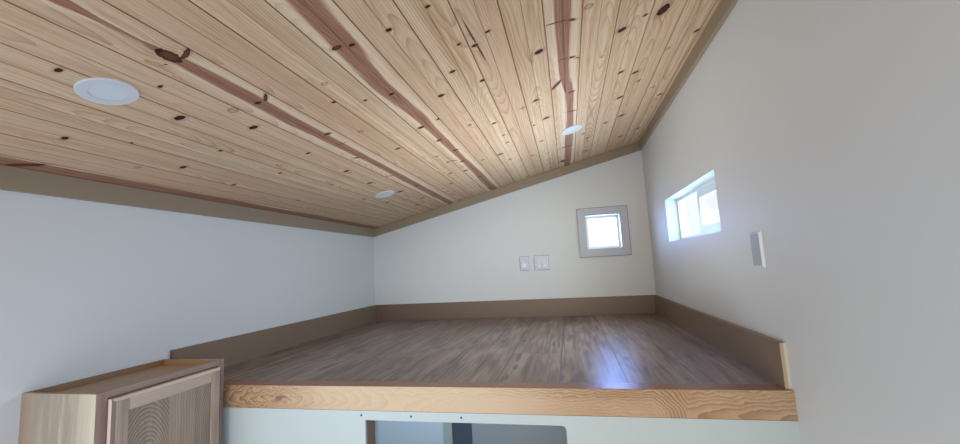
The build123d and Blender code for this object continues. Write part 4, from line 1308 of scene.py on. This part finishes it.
case_finish, tree, shader = material("oak_case", 0.6)
split = place_on(tree)
veneer, pores = oak_figure(
    tree,
    "Z",
    (cabinet_low.x + 0.19, cabinet_low.y - 0.05),
    0.006,
    0.05,
    (srgb(174, 163, 146), srgb(154, 142, 130), srgb(122, 105, 93)),
    0.25,
    4.0,
)
from_back = math_of(tree, "SUBTRACT", split["X"], cabinet_low.x)
veneer = blend_colours(tree, ramp(tree, from_back, 0.02, 0.1, 0.5, 0.0), veneer, srgb(150, 116, 98))
veneer = blend_colours(tree, ramp(tree, from_back, 0.2, 0.29, 0.0, 0.5), veneer, srgb(200, 191, 172))
raw_grain = fibre(tree, "Y", 300.0, 30.0)
raw = blend_colours(tree, raw_grain, raw_brown, srgb(164, 140, 114))
towards_end = ramp(tree, split["Y"], cabinet_middle, cabinet_high.y - 0.03)
at_rail = ramp(tree, from_back, 0.016, 0.022, 0.7, 0.1)
raw = blend_colours(tree, towards_end, raw, raw_orange, 0.7)
raw = blend_colours(tree, at_rail, raw, srgb(124, 92, 68))
inside = between(
    tree, split["Y"], cabinet_low.y + case_board - 0.0004, cabinet_high.y - case_board + 0.0004
)
sunk = math_of(tree, "GREATER_THAN", split["Z"], cabinet_high.z - case_recess - 0.0005)
case_colour = blend_colours(tree, math_of(tree, "MULTIPLY", inside, sunk), veneer, raw)
coat(tree, shader, case_colour, pores, 0.0001)
dress(case_finish, "cabinet_case")


def joined_frame(name, node_name, member, colours, tones, seed):
    """Oak stiles and rails: upright grain in the stiles, level grain in the rails between them. The
    rails have their own tone. The near outer side is paler, partly painted light. The sloped edge
    carries painted shade, and painted light where it faces up. A painted shadow line lies over the door."""
    low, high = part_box(node_name)
    rail_tone, near_side_tone_and_light, slope_shade_and_light = tones
    finish, tree, shader = material(name, 0.55)
    split, normal = place_on(tree), place_on(tree, "Normal")
    place = split["Y"]
    middle, half_inner = (low.y + high.y) / 2, (high.y - low.y) / 2 - member
    stiles, stile_pores = oak_figure(tree, "Z", (low.x - 0.04, middle), 0.0045, 0.03, colours, 0.4, seed)
    rails, rail_pores = oak_figure(
        tree, "Y", (low.x - 0.04, high.z + 0.02), 0.0045, 0.03, colours, 0.55, seed + 3
    )
    rails = blend_colours(tree, 0.45, rails, rail_tone)
    off_middle = math_of(tree, "ABSOLUTE", math_of(tree, "SUBTRACT", place, middle))
    from_joint = math_of(tree, "SUBTRACT", off_middle, half_inner)
    is_stile = math_of(tree, "GREATER_THAN", from_joint, 0.0)
    joint = math_of(tree, "LESS_THAN", math_of(tree, "ABSOLUTE", from_joint), 0.0004)
    colour = blend_colours(tree, is_stile, rails, stiles)
    colour = blend_colours(tree, joint, colour, srgb(84, 66, 54), 0.5)
    # The sloped edge carries painted shade, and painted light where it faces up, where it takes the rail
    # tone.
    sloped = between(tree, math_of(tree, "ABSOLUTE", normal["X"]), 0.8, 0.98)
    faces_up = math_of(tree, "GREATER_THAN", normal["Z"], 0.2)
    slope_shade_and_light = blend_colours(tree, faces_up, slope_shade_and_light, rail_tone)
    colour = blend_colours(tree, sloped, colour, slope_shade_and_light, 0.85)
    # The near outer side is painted paler: painted light on the door, the case's pale tone on the face
    # frame.
    near_side = math_of(
        tree,
        "MULTIPLY",
        math_of(tree, "LESS_THAN", normal["Y"], -0.9),
        math_of(tree, "LESS_THAN", place, low.y + 0.001),
    )
    colour = blend_colours(tree, near_side, colour, near_side_tone_and_light, 0.85)
    # A painted shadow line darkens the frame just over the door.
    shadow_over_door = math_of(
        tree,
        "MULTIPLY",
        between(tree, split["Z"], door_high.z + 0.0002, door_high.z + 0.0045),
        between(tree, place, door_low.y, door_high.y),
    )
    colour = blend_colours(tree, shadow_over_door, colour, srgb(84, 56, 52), 0.85)
    pores = node(tree, "Mix", {"Factor": is_stile, "A": rail_pores, "B": stile_pores}).outputs[0]
    coat(tree, shader, colour, pores, 0.0001)
    dress(finish, node_name)


frame_colours = (srgb(168, 143, 131), srgb(148, 123, 112), srgb(106, 84, 74))
door_colours = (srgb(184, 164, 148), srgb(160, 139, 125), srgb(110, 91, 79))
# Tones: the rail's own tone, the near side's tone with its painted light, and the slope's painted shade.
face_tones = (srgb(168, 146, 134), srgb(196, 188, 170), srgb(84, 62, 56))
door_tones = (srgb(212, 192, 174), srgb(214, 188, 178), srgb(112, 98, 92))
joined_frame("oak_face_frame", "cabinet_face_frame", face_member, frame_colours, face_tones, 7.0)
joined_frame("oak_door_frame", "door_frame", door_member, door_colours, door_tones, 12.0)

# Door panel: three oak staves glued edge to edge. The near one has a broad arch, the middle one is
# straight, and the far one holds the flank of another arch.
panel_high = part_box("door_panel")[1]
near_joint, far_joint = beam_front - 0.258, beam_front - 0.158
panel_finish, tree, shader = material("oak_panel", 0.6)
split = place_on(tree)
place = split["Y"]
pores = oak_pores(tree, "Z")
wobble = math_of(tree, "MULTIPLY", clouds_of(tree, 16.0), 1.1)
near_arch = arch_figure(tree, split, beam_front - 0.332, panel_high.z - 0.245, 0.42, 0.0145, wobble)
lines = math_of(tree, "FRACT", math_of(tree, "MULTIPLY_ADD", place, 90.0, wobble))
straight = math_of(tree, "MULTIPLY", math_of(tree, "POWER", lines, 1.7), 0.55)
far_arch = arch_figure(tree, split, beam_front - 0.070, panel_high.z - 0.130, 0.62, 0.013, wobble)
past_near = math_of(tree, "GREATER_THAN", place, near_joint)
past_far = math_of(tree, "GREATER_THAN", place, far_joint)
late = node(tree, "Mix", {"Factor": past_near, "A": near_arch, "B": straight}).outputs[0]
late = node(tree, "Mix", {"Factor": past_far, "A": late, "B": far_arch}).outputs[0]
panel_middle, panel_pale, panel_late = srgb(158, 140, 124), srgb(172, 154, 137), srgb(90, 75, 64)
broad_grain = ramp(tree, fibre(tree, "Z", 40.0, 14.0), 0.35, 0.65)
panel_colour = blend_colours(tree, broad_grain, panel_middle, panel_pale)
warm_stripe = between(tree, place, near_joint - 0.028, near_joint)
panel_colour = blend_colours(tree, warm_stripe, panel_colour, srgb(164, 136, 118), 0.5)
panel_colour = blend_colours(tree, late, panel_colour, panel_late, 0.75)
panel_colour = blend_colours(tree, pores, panel_colour, panel_late, 0.25)
coat(tree, shader, panel_colour, pores, 0.0001)
dress(panel_finish, "door_panel")

back_finish, tree, shader = material("oak_ply", 0.65)
ply_colours = (srgb(206, 178, 140), srgb(190, 156, 116), srgb(150, 112, 76))
ply, pores = oak_figure(tree, "Z", (cabinet_low.x - 0.1, cabinet_middle), 0.009, 0.08, ply_colours, 0.4, 9.0)
coat(tree, shader, ply, pores, 0.0001)
dress(back_finish, "cabinet_back")

# Hinges: brushed nickel leaves and knuckles, screwed to the edges of the face frame and the door.
hinge_finish, tree, shader = material("brushed_nickel", 0.35, Metallic=1.0)
brushed = fibre(tree, "Z", 2200.0, 60.0)
nickel = blend_colours(tree, brushed, srgb(150, 146, 138), srgb(186, 182, 174))
coat(tree, shader, nickel, brushed, 0.00003)
dress(hinge_finish, "cabinet_hinges", "door_hinge_leaves")
